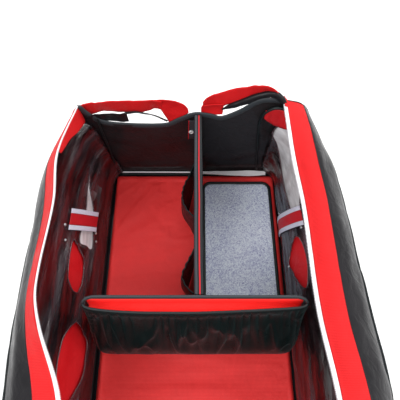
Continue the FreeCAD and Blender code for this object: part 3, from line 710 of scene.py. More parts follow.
def end_rows(end, across=90, up=44):
    """A grid over the end panel: rows up, columns from left to right."""
    left = spread(wall_line(LEFT, end * HALF_LENGTH)[::-1], up)
    right = spread(wall_line(RIGHT, end * HALF_LENGTH)[::-1], up)
    base = np.linspace(left[0], right[0], across)
    top = spread(top_edge(), across)
    u, v = np.linspace(0, 1, across)[None, :, None], np.linspace(0, 1, up)[:, None, None]
    sides = left[:, None] * (1 - u) + right[:, None] * u
    ends = base[None] * (1 - v) + top[None] * v
    corners = (left[0] * (1 - u) + right[0] * u) * (1 - v) + (left[-1] * (1 - u) + right[-1] * u) * v
    return sides + ends - corners, u, v


def end_walls():
    for end, name in ENDS:
        flat, u, v = end_rows(end)
        x, z = flat[..., 0], flat[..., 1]
        roll = 4.2 * np.exp(-((z - 64 - x * 0.02) / 11) ** 2) * ease(np.abs(x - 7), 18, 60)
        roll = roll * ease(202 - np.abs(x), 0, 40)
        sag = 3.0 * noise(x / 70 + 5, z / 60, 61 + end) + 1.4 * noise(x / 26, z / 34, 63 + end)
        slack = 1.6 * noise(x / 30 + z / 90, z / 120, 65 + end) * ease(z, 150, 240)
        edge = ease(u[..., 0], 0, 0.05) * ease(1 - u[..., 0], 0, 0.05) * ease(v[..., 0], 0, 0.08)
        hold = (1 - 0.8 * ease(150 - np.abs(x), 0, 30) * ease(z, 120, 150)) * ease(z, 42, 80)
        inwards = np.clip(sag + slack, -1.2, 2.2) * edge * hold + roll * edge
        grid = xyz(x, end * (HALF_LENGTH + 1.7 - inwards), z)
        cloth(f"end_wall_{name}", grid, WALL, LINED_TARP, slot="coated_black",
              replaces=[f"end_panel_{name}"], held="stretched", rests_on=["side_left", "side_right"])
        top = top_edge()
        line = xyz(top[:, 0], end * (HALF_LENGTH + 1.6), top[:, 1] - 4.5)
        piece(f"end_binding_{name}", *tube(spread(line, 120), 7.0, 12, 0.42, up=(0, 1, 0)), BINDING,
              slot="binding_grey", replaces=[f"rim_binding_{name}"])
        face = spread(line + np.array([0, -end * 3.0, -4.0]), 200)
        stitches(f"end_stitching_{name}", face, np.tile((0, -end, 0), (200, 1)), 4.5, THREAD_BLACK)


# ---- floor -------------------------------------------------------------------------------------
def box_mm(node):
    """A node's lowest and highest corners, in millimetres."""
    return [[v / MM for v in corner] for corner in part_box(node)]


def floor_pad():
    """The red padded floor: a slack pad, puckered along its far and near edges."""
    (x0, y0, z0), (x1, y1, z1) = box_mm("floor_pad")
    x, y = field((x0 + 3, x1 - 3, 100), (y0 + 3, y1 - 3, 190))
    rim = ease(x - x0, 0, 12) * ease(x1 - x, 0, 12) * ease(y - y0, 0, 14) * ease(y1 - y, 0, 14)
    pucker = 0
    for end in (FAR, NEAR):
        near = np.exp(-np.clip(end * (y1 if end > 0 else y0) - end * y, 0, None) / 26)
        pucker = pucker + near * noise(x / 13, 3.0, 80) * 2.2
    soft = 0.9 * noise(x / 60, y / 75, 82) + 0.5 * noise(x / 22, y / 30, 83) + pucker
    top = z1 - 5.5 + 5.2 * rim + np.clip(soft, -3, 1.2) * rim
    upper = settle_grid(xyz(x, y, top), np.where(rim > 0.97, 0.05, 1.0), grow=0.035, cap=2.6)
    upper[..., 2] = np.minimum(upper[..., 2], PAD_TOP + 0.4)
    cells, back = quads(*x.shape).reshape(-1, 4), x.size
    index = np.arange(back).reshape(x.shape)
    loop = [*index[:, 0], *index[-1, 1:], *index[-2::-1, -1], *index[0, -2:0:-1]]
    sides = [(a, a + back, b + back, b) for a, b in zip(loop, loop[1:] + loop[:1])]
    verts = np.vstack([upper.reshape(-1, 3), xyz(x, y, z0 + 0.3).reshape(-1, 3)])
    pad = piece("floor_cushion", verts, [*cells, *(cells[:, ::-1] + back), *sides], FLOOR_RED,
                slot="floor_red", replaces=["floor_pad"])
    drop_loose(pad)


def base():
    """The coated bottom, with rolled edges, and the piping round the base seam."""
    (x0, y0, z0), (x1, y1, z1) = box_mm("bottom_panel")
    x, y = field((x0, x1, 46), (y0, y1, 92))
    edge = ease(np.minimum(np.minimum(x - x0, x1 - x), np.minimum(y - y0, y1 - y)), 0, 16)
    z = (z0 + z1) / 2 + 0.35 * noise(x / 40, y / 50, 90) * edge + 1.2 * (1 - edge)
    cloth("bottom_skin", xyz(x, y, z), 2.0, TARP, slot="coated_black", replaces=["bottom_panel"],
          held="stretched", rests_on=["base_runners"])
    outline = []
    for k, (sx, sy) in enumerate(((1, 1), (-1, 1), (-1, -1), (1, -1))):
        for a in np.linspace(0, math.pi / 2, 7) + k * math.pi / 2:
            outline.append((sx * (x1 - 12) + 12 * math.cos(a), sy * (y1 - 12) + 12 * math.sin(a)))
    ring = spread(np.array(outline + outline[:1]), 400)
    line = xyz(ring[:, 0], ring[:, 1], 11.8)
    piece("base_piping", *tube(line, 2.6, 8, caps=False), EDGING, slot="coated_black")


# ---- dividers ----------------------------------------------------------------------------------
DIVIDER_NEAR, DIVIDER_FAR = 60.5, 445.0
POUCH_BACK, POUCH_HALF = 54.2, 197.0
# How far the pouch's mouth stands open, across the bag.
LENS = [(-197, 12), (-192, 16), (-181, 19.5), (-152, 23), (-110, 25.5), (-60, 26.5), (9, 26.5), (96, 23),
        (152, 20), (182, 17.5), (192, 15), (197, 11.5)]


def cushion(name, grid, thick, material, fill, rim=14.0, low=0.5, swollen=1.2, hold=0.1, **how):
    """A padded form about a grid: full in the middle, and pulled in towards its sewn edges."""
    u, v = lengths(grid[:, grid.shape[1] // 2]), lengths(grid[grid.shape[0] // 2])
    near = np.minimum.outer(np.minimum(u, u[-1] - u), np.minimum(v, v[-1] - v))
    full = np.sqrt(1 - (1 - np.clip(near / rim, 0, 1)) ** 2)
    soft = 0.05 * noise(u[:, None] / 55, v[None] / 48, 21) + 0.03 * noise(u[:, None] / 17, v[None] / 19, 22)
    half = thick * (low + (1 - low) * full) * (1 + soft * full)
    obj = cloth(name, grid, half[..., None], material, **how)
    swell(obj, np.tile(np.where(near.ravel() < 5, 1.0, hold), 2), swollen)
    return obj


def swell(obj, sewn, cap):
    """Lets a padded piece's cover swell and pucker between its sewn edges."""
    start = np.empty(len(obj.data.vertices) * 3)
    obj.data.vertices.foreach_get("co", start)
    faces = [f.vertices for f in obj.data.polygons]
    moved = settle(start.reshape(-1, 3) / MM, faces, sewn, pressure=2.0, grow=0.035, cap=cap)
    obj.data.vertices.foreach_set("co", (moved * MM).ravel())
    obj.data.update()


def divider_line(x, lift, count=120):
    """A line along the long divider's top edge, which rises to the far end."""
    y = np.linspace(DIVIDER_NEAR + 0.5, DIVIDER_FAR - 0.5, count)
    top = 258 + 14 * (y - DIVIDER_NEAR) / (DIVIDER_FAR - DIVIDER_NEAR)
    return xyz(float(x), y, top + lift)


def long_divider():
    on = {"body": "centre_divider"}
    top = divider_line(7, -0.8, 90)
    v = np.linspace(0, 1, 56)[None, :, None]
    foot = top * (1, 1, 0) + (0, 0, 26.6)
    grid = foot[:, None] * (1 - v) + top[:, None] * v
    lean = 0.7 * noise(grid[..., 1] / 90, grid[..., 2] / 80, 33)
    grid[..., 0] += lean * np.sin(math.pi * v[..., 0])
    cushion("divider_pad", grid, 15.4, PADDED, 0.8, slot="padded_grey", replaces=["divider_panel"], **on)
    trims = (("grey", 2.4, 1.6, 3.4, 0.62, BINDING, "binding_grey", ["divider_binding"]),
             ("edge", 12.6, 1.8, 2.5, 0.8, EDGING, "binding_grey", []),
             ("piping", 6.0, 3.0, 0.9, 1.0, EDGING, "binding_grey", []),
             ("stripe", 8.3, 2.4, 1.6, 0.85, RED_STRIPE, "band_red", ["divider_stripe"]),
             ("trim", 10.3, 2.9, 0.6, 1.0, BINDING, "binding_grey", []))
    for name, x, lift, radius, squash, material, slot, nodes in trims:
        line = divider_line(x, lift)
        line[:, 0] += 0.5 * noise(line[:, 1] / 40, 0.0, 34)
        piece(f"divider_{name}", *tube(line, radius, 12, squash), material, slot=slot, replaces=nodes, **on)
    for side, x in ((LEFT, -0.7), (RIGHT, 14.7)):
        line = divider_line(x, -6.0)
        stitches(f"divider_stitching_{side}", line, np.tile((math.copysign(1, x - 7), 0, 0), (120, 1)), 4.0,
                 THREAD_BLACK, "centre_divider")


def mesh_pockets():
    """Two slack mesh pockets on the long divider's left face, with gathered elastic tops."""
    pockets = []
    for k, (far, near, depth) in enumerate(((408, 266, 35), (190, 92, 32))):
        t, v = field((0, 1, 72), (0, 1, 34))
        swell = np.sin(math.pi * t ** 1.45) ** 0.85
        rise = ease(v, -0.35, 0.42) * (1 - 0.12 * ease(v, 0.7, 1))
        gather = 1.0 * np.sin(t * (far - near) / 7.5 * math.pi) * ease(v, 0.72, 1) * ease(swell, 0, 0.5)
        sag = 1.6 * noise(t * 5 + v * 2, v * 3, 40 + k) * swell
        x = -2.0 - (depth - 3.5) * swell * rise - gather - sag
        y = far + (near - far) * t
        z = 30 + 108 * v - 5 * np.sin(math.pi * t) * v
        grid = xyz(np.minimum(x, -1.9), y, z)
        cloth(f"mesh_pocket_{k}", grid, 1.1, MESH, body="centre_divider", slot="mesh_smoke", held="gathered",
              rests_on=["divider_pad"], replaces=["divider_mesh_pockets"])
        pockets += [tube(grid[:, -1] + (0, 0, 0.8), 1.9, 10), tube(grid[:, 0] + (-0.3, 0, 0.5), 1.4, 8)]
    piece("mesh_pocket_hems", *merged(pockets), EDGING, body="centre_divider", slot="binding_grey")


def snap_tab():
    """The tab that holds the long divider to the end panel, with its ring snap."""
    on = {"body": "centre_divider"}
    t, v = field((0, 1, 9), (0, 1, 30))
    x = -15.5 + 13.5 * t + 2.0 * v
    grid = xyz(x, 443.2 - 0.8 * np.sin(3 * v) * t, 190 + 68 * v)
    cloth("divider_strap_tab", grid, 1.5, PADDED, slot="padded_grey", replaces=["divider_tab"], **on)
    piece("divider_tab_edge", *tube(grid[0] + (0.3, -0.7, 0), 1.1, 8, up=(0, 1, 0)), RED_STRIPE,
          slot="band_red", **on)
    turn = np.linspace(0, 2 * math.pi, 41)
    hoops = []
    for radius, thick, y in ((4.6, 1.2, 440.9), (2.7, 0.8, 440.4)):
        line = xyz(-8.5 + radius * np.cos(turn), y, 219 + radius * np.sin(turn))
        hoops.append(tube(line, thick, 10, up=(0, 1, 0), caps=False))
    piece("snap_ring", *merged(hoops), SNAP, slot="metal", replaces=["divider_snap"], **on)


def across_top(side_of_mouth, lift, count=200):
    """A line along the back or the front edge of the pouch's mouth."""
    x = np.linspace(-POUCH_HALF, POUCH_HALF, count)
    turned = 11.0 * (1 - np.sqrt(1 - np.clip((np.abs(x) - 176) / 21.0, 0, 1) ** 2))
    gape = np.interp(x, *smooth(LENS, 10).T) if side_of_mouth == "front" else turned
    sag = 1.5 * ease(gape, 0, 28) + 0.6 * noise(x / 45, 0.0, 44)
    return xyz(x, POUCH_BACK + 0.5 - gape, 264.6 - sag + lift + 0 * x)


def cross_divider():
    on = {"body": "cross_divider"}
    x, z = field((-195.5, 195.5, 90), (27.5, 260.5, 54))
    y = POUCH_BACK + 2.2 + 0.4 * noise(x / 80, z / 70, 45) * np.sin(math.pi * (z - 27) / 234)
    cushion("cross_pad", xyz(x, y, z), 3.0, PADDED, 0.7, rim=8, swollen=0.3, slot="padded_grey",
            replaces=["cross_panel"], **on)
    x = np.linspace(-194.5, 194.5, 120)
    front = POUCH_BACK + 3.4 - np.interp(x, *smooth(LENS, 10).T)
    back, mid = np.maximum(np.full(120, POUCH_BACK - 1.0), front + 1), (front + POUCH_BACK) / 2
    rows = [(back, 261), (back, 246), (back - 1.5, 232), (mid, 226), (front + 1.5, 232), (front, 247),
            (front, 262)]
    rows = np.array([xyz(x, y, float(z)) for y, z in rows])
    grid = np.stack([smooth(rows[:, k], 6) for k in range(120)])
    grid[..., 2] += 1.2 * noise(x / 26, 0.0, 46)[:, None] * ease(256 - grid[..., 2], 0, 16)
    cloth("pouch_lining", grid, 0.8, BRIGHT_RED, slot="lining_red", replaces=["cross_lining"], held="hung",
          rests_on=["cross_pad"], **on)
    back, front = across_top("back", 0.0), across_top("front", 0.0)
    bound = back + (0, 2.3, -1.0)
    bound[:, 1] += 0.3 * noise(bound[:, 0] / 40, 0.0, 47)
    piece("cross_binding", *tube(bound, 2.5, 14, 0.9), BINDING, slot="binding_grey", **on)
    pipes = [tube(back + (0, -0.3, 0), 1.4, 10), tube(front + (0, 0.6, 0.0), 2.5, 10)]
    piece("pouch_piping", *merged(pipes), EDGING, slot="binding_grey", replaces=["cross_rim"], **on)
    for sign, name in ((-1, LEFT), (1, RIGHT)):
        y, z = field((40.8, 57.8, 10), (120.5, 239.5, 26))
        tab = xyz(sign * (200.0 + 0.8 * noise(y / 9, z / 14, 48)), y, z)
        cloth(f"cross_tab_{name}", tab, 1.8, EDGING, slot="binding_grey", replaces=["cross_tabs"], **on)


def pouch():
    """The gathered satin pouch: pleats under its mouth that run into broad folds and a slack foot."""
    profile = smooth([(50, 100), (16, 98), (-12, 102), (-27, 116), (-25, 142), (-12, 176), (8, 222),
                      (26, 263)], 14)
    ends = POUCH_HALF - 1
    x, v = field((-ends, ends, 230), (0, 1, 76))
    line = spread(profile, 76)
    gape = np.interp(x, *smooth(LENS, 10).T) / 27.2
    full = np.sqrt(1 - (np.abs(x) / POUCH_HALF) ** 26)
    out = full + (gape - full) * ease(v, 0.45, 1.0)
    corner = 20 * (1 - np.sqrt(1 - np.clip((np.abs(x) - 177) / 20.5, 0, 1) ** 2))
    drop = 4.2 * np.exp(-((x - 8) / 62) ** 2) + 4.4 * np.exp(-((x + 90) / 13) ** 2)
    y = POUCH_BACK - (POUCH_BACK - line[:, 0]) * out
    y = y - 1.6 * drop * (1 - ease(v, 0.12, 0.42)) * ease(v, 0, 0.08)
    z = line[:, 1] + (corner - drop) * (1 - ease(v, 0.1, 0.5))
    drift = x + 8 * noise(x / 60, v * 2, 52)
    pleat = np.abs(np.sin(drift / 17 * math.pi + 1.8 * noise(x / 40, 0.0, 54))) ** 0.7 - 0.55
    pleat = pleat * (0.75 + 0.6 * noise(x / 45, 0.7, 59))
    fold = 1 - np.abs(noise(x / 38 - v * 1.3, v * 1.6 + x / 170, 58)) * 2.6
    ridge = 1 - np.abs(noise(x / 24 + v * 1.8, v * 2.2 - x / 90, 57)) * 2.6
    slack = 9.0 * np.clip(fold, 0, 1) ** 1.5 + 6.5 * np.clip(ridge, 0, 1) ** 1.5
    slack = slack + 4.5 * noise(x / 64, v * 2.2, 56)
    lift = 6.0 * ease(v, 0.42, 0.88) * (1 - 0.75 * ease(v, 0.93, 1)) * pleat
    lift = lift + slack * ease(v, 0.34, 0.66) * (1 - ease(v, 0.78, 0.98))
    lift = lift * ease(POUCH_HALF - np.abs(x), 0, 24)
    grid = xyz(x * (1 + 0.035 * (1 - ease(v, 0.3, 1.0))), y - lift, z)
    sewn = 1 - 0.98 * ease(POUCH_HALF - np.abs(x), 2, 10) * ease(v, 0.03, 0.1) * (1 - ease(v, 0.93, 1.0))
    grid = settle_grid(grid, sewn, grow=0.05, gravity=0.5, cap=5.0)
    grid[..., 1] = np.minimum(grid[..., 1], POUCH_BACK - 2.0)
    cloth("gathered_pouch", grid, 1.3, SATIN, body="cross_divider", slot="satin_black",
          replaces=["cross_pouch"], held="gathered", rests_on=["cross_pad"])
    seams = []
    for end in (0, -1):
        seams.append(tube(grid[end] + (math.copysign(0.8, grid[end, 0, 0]), 1.0, 0), 1.5, 8, up=(1, 0, 0)))
    piece("pouch_seams", *merged(seams), EDGING, body="cross_divider", slot="binding_grey")


def mat_outline(inset, radius, count):
    """The mat's outline, drawn in by inset, with rounded corners."""
    (x0, y0, _), (x1, y1, _) = box_mm("mat_binding")
    points = []
    corners = ((x1, y1, 1, 1), (x0, y1, -1, 1), (x0, y0, -1, -1), (x1, y0, 1, -1))
    for k, (cx, cy, sx, sy) in enumerate(corners):
        turn = math.pi / 2 * (k + np.linspace(0, 1, 12))
        points.extend(zip(cx - sx * (inset + radius) + radius * np.cos(turn),
                          cy - sy * (inset + radius) + radius * np.sin(turn)))
    return spread(np.array([*points, points[0]]), count)


def skate_mat():
    """The felt mat, as rings of points from its middle out, above and below, and its bound edge."""
    on = {"body": "skate_mat"}
    (x0, y0, _), (x1, y1, _) = box_mm("mat_binding")
    middle = np.array([(x0 + x1) / 2, (y0 + y1) / 2])
    around, layers, top, foot = 240, 33, 31.3, 25.9
    share = np.linspace(0, 1, layers + 1)[:, None, None]
    flat = middle * (1 - share) + mat_outline(6.0, 19.0, around + 1)[None, :-1] * share
    x, y = flat[..., 0], flat[..., 1]
    soft = 0.5 * noise(x / 30, y / 34, 60) + 0.2 * noise(x / 8, y / 9, 61)
    upper = xyz(x, y, top + soft - 2.2 * ease(share[..., 0], 0.93, 1.0))[1:].reshape(-1, 3)
    lower = xyz(x, y, foot)[1:].reshape(-1, 3)
    half, rim = layers * around, (layers - 1) * around
    faces = []
    for cell in rings(layers, around):
        a, b, c, d = cell
        faces += [(a, d, c, b), (a + half, b + half, c + half, d + half)]
    turn = [(k, (k + 1) % around) for k in range(around)]
    faces += [(rim + k, rim + k + half, rim + n + half, rim + n) for k, n in turn]
    for k, n in turn:
        faces += [(2 * half, k, n), (2 * half + 1, half + n, half + k)]
    verts = np.vstack([upper, lower, [[*middle, top], [*middle, foot]]])
    felt = piece("felt_mat", verts, faces, FELT, slot="felt_heather", replaces=["mat_felt"], **on)
    drop_loose(felt)
    edge = mat_outline(4.0, 20.0, 361)
    piece("mat_edge", *tube(xyz(edge[:, 0], edge[:, 1], 29.2), 4.0, 14, 0.82, caps=False), EDGING,
          slot="binding_grey", replaces=["mat_binding"], **on)


# ---- inner walls -------------------------------------------------------------------------------
# Openings in the film, in mm: y along the bag and distance up from the floor pad's edge.
LEAVES = {
    LEFT: [
        [(202, 142), (186, 112), (166, 93), (140, 87), (114, 91), (95, 106), (108, 130), (130, 147),
         (165, 152), (190, 149)],
        [(40, 92), (20, 62), (-2, 46), (-40, 46), (-74, 57), (-110, 84), (-150, 118), (-112, 131),
         (-74, 130), (-36, 134), (-2, 127), (22, 112)],
    ],
    RIGHT: [
        [(212, 130), (200, 106), (182, 88), (160, 82), (130, 104), (96, 138), (125, 150), (162, 152),
         (202, 142)],
        [(444, 240), (436, 232), (420, 232), (406, 240), (402, 251), (410, 261), (426, 265), (440, 262)],
    ],
}
MAT_HINGE_Y, MAT_HINGE_Z, MAT_SIDE = 417.0, 29.0, 200.0
VENTS = {
    LEFT: [(366, 124), (340, 112), (304, 86), (255, 74), (206, 68), (203, 90), (206, 121), (250, 116),
           (292, 112), (338, 119)],
    RIGHT: [(444, 222), (444.5, 186), (436, 158), (418, 136), (390, 123), (340, 120), (274, 127), (254, 149),
            (300, 170), (350, 190), (396, 212), (426, 224)],
}


def folds(side, y, s):
    """How far the film stands off the lining: long folds that run along the bag."""
    seed = 70 if side == LEFT else 75
    shift = 14 * noise(y / 130, 0.5, seed + 1)
    ridge = 3.8 * noise((s + shift) / 19, y / 190, seed) + 1.8 * noise((s - shift) / 11, y / 90, seed + 2)
    cross = 1.2 * noise(y / 26 + s / 50, s / 60, seed + 3)
    press = ease(np.abs(np.abs(y) - 262), 30, 62)
    press = press * (1 - 0.7 * ease(np.abs(y), 340, 390) * ease(150 - s, 0, 30))
    high = 5.5 if side == LEFT else 3.4
    waves = np.clip(ridge + cross, -2.0, high) * (0.25 + 0.75 * press) * ease(s, 8, 50)
    return 2.2 + 3.2 * ease(s, 6, 34) + waves


def on_lining(side, y, s, depth):
    """Points at (y, s) on an inner wall's curve, depth inside it. s is from the floor pad's edge up."""
    y, s, depth = np.broadcast_arrays(y, s, depth)
    points, normals = [], []
    for yy, ss, dd in zip(y.ravel(), s.ravel(), depth.ravel()):
        line = lining_line(side, yy)
        n = -inward(side, line, np.array([ss]))[0]
        p = at(line, np.array([ss]))[0] + n * dd
        points.append((p[0], yy, p[1]))
        normals.append((n[0], 0, n[1]))
    return np.reshape(points, (*y.shape, 3)), np.reshape(normals, (*y.shape, 3))


def lining_grid(side, ys, s0, count, depth):
    """A grid on an inner wall, from s0 up to under the band. depth is a function of y and s."""
    grid, normals, spans = [], [], []
    for y in ys:
        line = lining_line(side, y)
        s = np.linspace(s0, lengths(line)[-1], count)
        n = -inward(side, line, s)
        p = at(line, s) + n * np.broadcast_to(depth(y, s), s.shape)[:, None]
        grid.append(xyz(p[:, 0], y, p[:, 1]))
        normals.append(xyz(n[:, 0], 0 * s, n[:, 1]))
        spans.append(s)
    return np.array(grid), np.array(normals), np.array(spans)


def inside(points, loop):
    """Which points lie inside a closed loop, by crossings."""
    a, b = loop, np.roll(loop, -1, axis=0)
    x, y = points[..., 0, None], points[..., 1, None]
    crosses = (a[:, 1] > y) != (b[:, 1] > y)
    with np.errstate(divide="ignore", invalid="ignore"):
        at_x = a[:, 0] + (y - a[:, 1]) * (b[:, 0] - a[:, 0]) / (b[:, 1] - a[:, 1])
    return (crosses & (x < at_x)).sum(-1) % 2 == 1


def cut_holes(ys, spans, loops):
    """The cells of a film grid to keep, and the grid's (y, s) values moved so that holes follow loops."""
    where = np.stack([np.broadcast_to(ys[:, None], spans.shape), spans], -1).copy()
    centre = (where[1:, 1:] + where[:-1, :-1]) / 2
    keep = np.ones(centre.shape[:2], bool)
    for loop in loops:
        hole = inside(centre, loop)
        for _ in range(3):
            diagonal = hole[1:, 1:] & hole[:-1, :-1] & ~hole[1:, :-1] & ~hole[:-1, 1:]
            hole[1:, :-1] |= diagonal
            diagonal = hole[1:, :-1] & hole[:-1, 1:] & ~hole[1:, 1:] & ~hole[:-1, :-1]
            hole[1:, 1:] |= diagonal
        keep &= ~hole
        wide = np.pad(hole, 1)
        touched = np.stack([wide[:-1, :-1], wide[1:, :-1], wide[:-1, 1:], wide[1:, 1:]])
        rim = touched.any(axis=0) & ~touched.all(axis=0)
        dense = spread(np.vstack([loop, loop[:1]]), 900)
        for i, j in zip(*np.nonzero(rim)):
            gap = np.linalg.norm(dense - where[i, j], axis=1)
            where[i, j] = dense[gap.argmin()] * 0.9 + where[i, j] * 0.1
    return keep, where


def hole_loop(points):
    return spread(smooth([*points, points[0]], 10), 160)[:-1]


def clear_of_mat(grid):
    """Keeps the film outside the arc that the mat's side sweeps when its near edge is lifted."""
    along, up = MAT_HINGE_Y - grid[..., 1], grid[..., 2] - MAT_HINGE_Z
    swept = (np.hypot(along, up) < 352) & (up > 8) & (up < along * 1.1)
    x = np.where(swept, np.maximum(grid[..., 0], MAT_SIDE + 1.2), grid[..., 0])
    return xyz(x, grid[..., 1], grid[..., 2])


def inner_walls():
    ys = np.linspace(-446.5, 446.5, 244)
    for side, _ in SIDES:
        seed = 90 if side == LEFT else 95

        def slack(y, s):
            return 0.8 + 0.7 * noise(y / 70, s / 40, seed)

        grid, n, _ = lining_grid(side, ys[::2], 0.5, 60, slack)
        cloth(f"lining_{side}", grid, 1.0, LINING_RED, normals=n, slot="lining_red",
              replaces=[f"wall_lining_{side}"], held="hung", rests_on=[f"band_{side}"])
        loops = [hole_loop(points) for points in (*LEAVES[side], VENTS[side])]
        grid, n, spans = lining_grid(side, ys, 2.5, 84, lambda y, s: folds(side, y, s))
        keep, where = cut_holes(ys, spans, loops)
        moved = np.nonzero((np.abs(where[..., 0] - ys[:, None]) > 1e-6)
                           | (np.abs(where[..., 1] - spans) > 1e-6))
        yy, ss = where[moved][:, 0], where[moved][:, 1]
        grid[moved], n[moved] = on_lining(side, yy, ss, folds(side, yy, ss))
        if side == RIGHT:
            grid = clear_of_mat(grid)
        cloth(f"film_{side}", grid, 0.9, SMOKE, keep=keep, normals=n, slot="film_smoke",
              replaces=[f"film_pocket_{side}"], held="hung", rests_on=[f"lining_{side}"])
        hems = []
        for loop in loops:
            closed = np.vstack([loop, loop[:1]])
            y, s = closed.T
            line, out = on_lining(side, y, s, folds(side, y, s) + 0.4)
            hems.append(tube(line, 1.3, 8, up=out.mean(axis=0), caps=False))
        piece(f"film_hems_{side}", *merged(hems), HEM, slot="film_clear")
        vent(side)
        striped_straps(side)
        foot, _ = on_lining(side, ys[::2], 1.4, 0.6)
        piece(f"floor_edge_{side}", *tube(foot, 2.5, 10, up=(0, 0, 1)), EDGING, slot="binding_grey")


def vent(side):
    """The frosted window that shows through the film's shaped opening."""
    loop = hole_loop(VENTS[side])
    (y0, s0), (y1, s1) = loop.min(axis=0), loop.max(axis=0)
    y, s = field((y0 - 4, y1 - 0.5, 70), (s0 - 6, s1 + 5, 40))
    grid, n = on_lining(side, y, s, 2.9 + 0.9 * noise(y / 40, s / 16, 99))
    cloth(f"vent_{side}", grid, 0.8, FROST, normals=n, slot="film_clear",
          replaces=[f"vent_window_{side}"], held="stretched", rests_on=[f"lining_{side}"])


def striped_straps(side):
    """The striped webbing loops over the film, slanting on the left wall."""
    slant, middle_y = (34.0, 256.0) if side == LEFT else (26.0, 261.0)
    low, high, wide = (64, 166, 50) if side == LEFT else (22, 160, 45)
    for end, name in ENDS:
        parts = (("white_a", -0.5, -0.27, WHITE_STRIPE), ("red", -0.27, 0.27, RED_STRIPE),
                 ("white_b", 0.27, 0.5, WHITE_STRIPE))
        for label, a, b, material in parts:
            s, w = field((low, high, 48), (a + 0.006, b - 0.006, 9))
            middle = middle_y - slant * ((s - low) / (high - low) - 0.5)
            y = end * (middle + w * wide)
            bow = 2.0 * np.sin(math.pi * (s - low) / (high - low)) + 0.5 * noise(s / 20, w * 3, 101)
            grid, n = on_lining(side, y, s, 8.0 + bow)
            cloth(f"strap_{label}_{side}_{name}", grid, 1.5, material, normals=n, slot="strap_striped",
                  replaces=[f"striped_strap_{side}"])


def rivet(point, out):
    """A domed rivet on a washer, as points and faces."""
    out = unit(out)
    a = unit(np.cross(out, (0, 1, 0.3)))
    b = np.cross(out, a)
    outline = [(3.4, -0.6), (3.6, 0.3), (3.3, 0.8), (2.5, 0.9), (2.3, 1.4), (1.9, 2.0), (1.1, 2.4)]
    turn = np.linspace(0, 2 * math.pi, 20, endpoint=False)
    verts = [point + a * r * math.cos(t) + b * r * math.sin(t) + out * h for r, h in outline for t in turn]
    caps = [tuple(range(20))[::-1], tuple(range(120, 140))]
    return np.array(verts), caps + rings(len(outline), 20)


def rivets():
    spots = {LEFT: [(222, 176), (192, 165), (246, 62), (226, 58)], RIGHT: [(298, 60), (158, 82), (224, 150)]}
    for side, _ in SIDES:
        for end, name in ENDS:
            y, s = np.array(spots[side], float).T
            points, out = on_lining(side, y * end, s, folds(side, y * end, s) + 1.0)
            domes = merged([rivet(p, n) for p, n in zip(points, out)])
            piece(f"rivets_{side}_{name}", *domes, METAL, slot="metal", replaces=["wall_rivets"])


# ---- handles and small hardware ----------------------------------------------------------------
CARRY_X, CARRY_Z = 335.3, 172       # where the handles' straps hang from, off the bag's middle
GRAB_Y, GRAB_Z = 460.3, 186
LEG_HEIGHT = 176.0      # how far up the wall a carry strap is sewn
LEGS = ((-150, "near"), (150, "far"))


def u_line(half, drop, radius, count=120):
    """A hanging U in its own plane: (across, down), from one hinge to the other."""
    turn = np.linspace(0, math.pi / 2, 14)
    left = [(-half, 0.0)] + [(-half + radius - radius * math.cos(t), -drop + radius - radius * math.sin(t))
                             for t in turn]
    return spread(np.array(left + [(-x, z) for x, z in left[::-1]]), count)


def u_strap(name, half, drop, radius, width, place, body, node):
    """A webbing U. place turns (across, down, out) into a point."""
    line = u_line(half, drop, radius)
    t = unit(np.gradient(line, axis=0))
    across = np.stack([-t[:, 1], t[:, 0]], 1)
    w = np.linspace(-width / 2, width / 2, 9)
    flat = line[:, None] + across[:, None] * w[None, :, None]
    out = 0.35 * noise(flat[..., 0] / 30, flat[..., 1] / 25, 110) + 0.25 * np.abs(w)[None] / width
    grid = place(flat[..., 0], flat[..., 1], out)
    cloth(name, grid, 2.4, WEBBING, body=body, slot="webbing_black", replaces=[node])
    return [grid[12:-12, col] for col in (1, 7)]


def wrap(name, place, half, mid, radii, body, node, material):
    """A padded grip wrapped round a strap, with sewn ends."""
    t = np.linspace(-1, 1, 90)
    turn = np.linspace(0, 2 * math.pi, 36, endpoint=False)
    neck = 1 - 0.16 * np.abs(t) ** 10 - 0.05 * np.exp(-((np.abs(t) - 0.9) / 0.025) ** 2)
    bulge = neck[:, None] * (1 + 0.015 * noise(t[:, None] * 6, turn[None] * 1.5, 112))
    corner = (np.abs(np.cos(turn)) ** 2.6 + np.abs(np.sin(turn)) ** 2.6) ** (-1 / 2.6)
    down = mid + radii[1] * np.sin(turn)[None] * corner[None] * bulge
    out = radii[0] * np.cos(turn)[None] * corner[None] * bulge
    across = np.broadcast_to((t * half)[:, None], down.shape)
    verts = place(across, down, out).reshape(-1, 3)
    faces = rings(90, 36) + [tuple(range(36))[::-1], tuple(range(89 * 36, 90 * 36))]
    obj = piece(name, verts, faces, material, body=body, slot="webbing_black", replaces=[node])
    drop_loose(obj)


def handle(body, name, place, out, strap, grip, names, pitch):
    """A webbing U with two rows of stitches and a padded grip, on its own body. out points off the wall."""
    for k, edge in enumerate(u_strap(name, *strap, place, body, names[0])):
        stitches(f"{names[1]}_{k}", edge + np.array(out) * 1.3, np.tile(out, (len(edge), 1)), pitch,
                 THREAD_BLACK, body)
    wrap(names[2], place, *grip, body, names[3], EDGING)


def carry_handles():
    for side, sign in SIDES:
        def place(across, down, out, sign=sign):
            return xyz(sign * (CARRY_X + out), across, CARRY_Z + down)

        handle(f"carry_handle_{side}", f"handle_{side}", place, (sign, 0, 0), (150, 131, 60, 37),
               (61.5, -131, (6.8, 23.5)), (f"handle_strap_{side}", f"handle_stitching_{side}",
                                           f"handle_grip_{side}", f"handle_wrap_{side}"), 4.5)


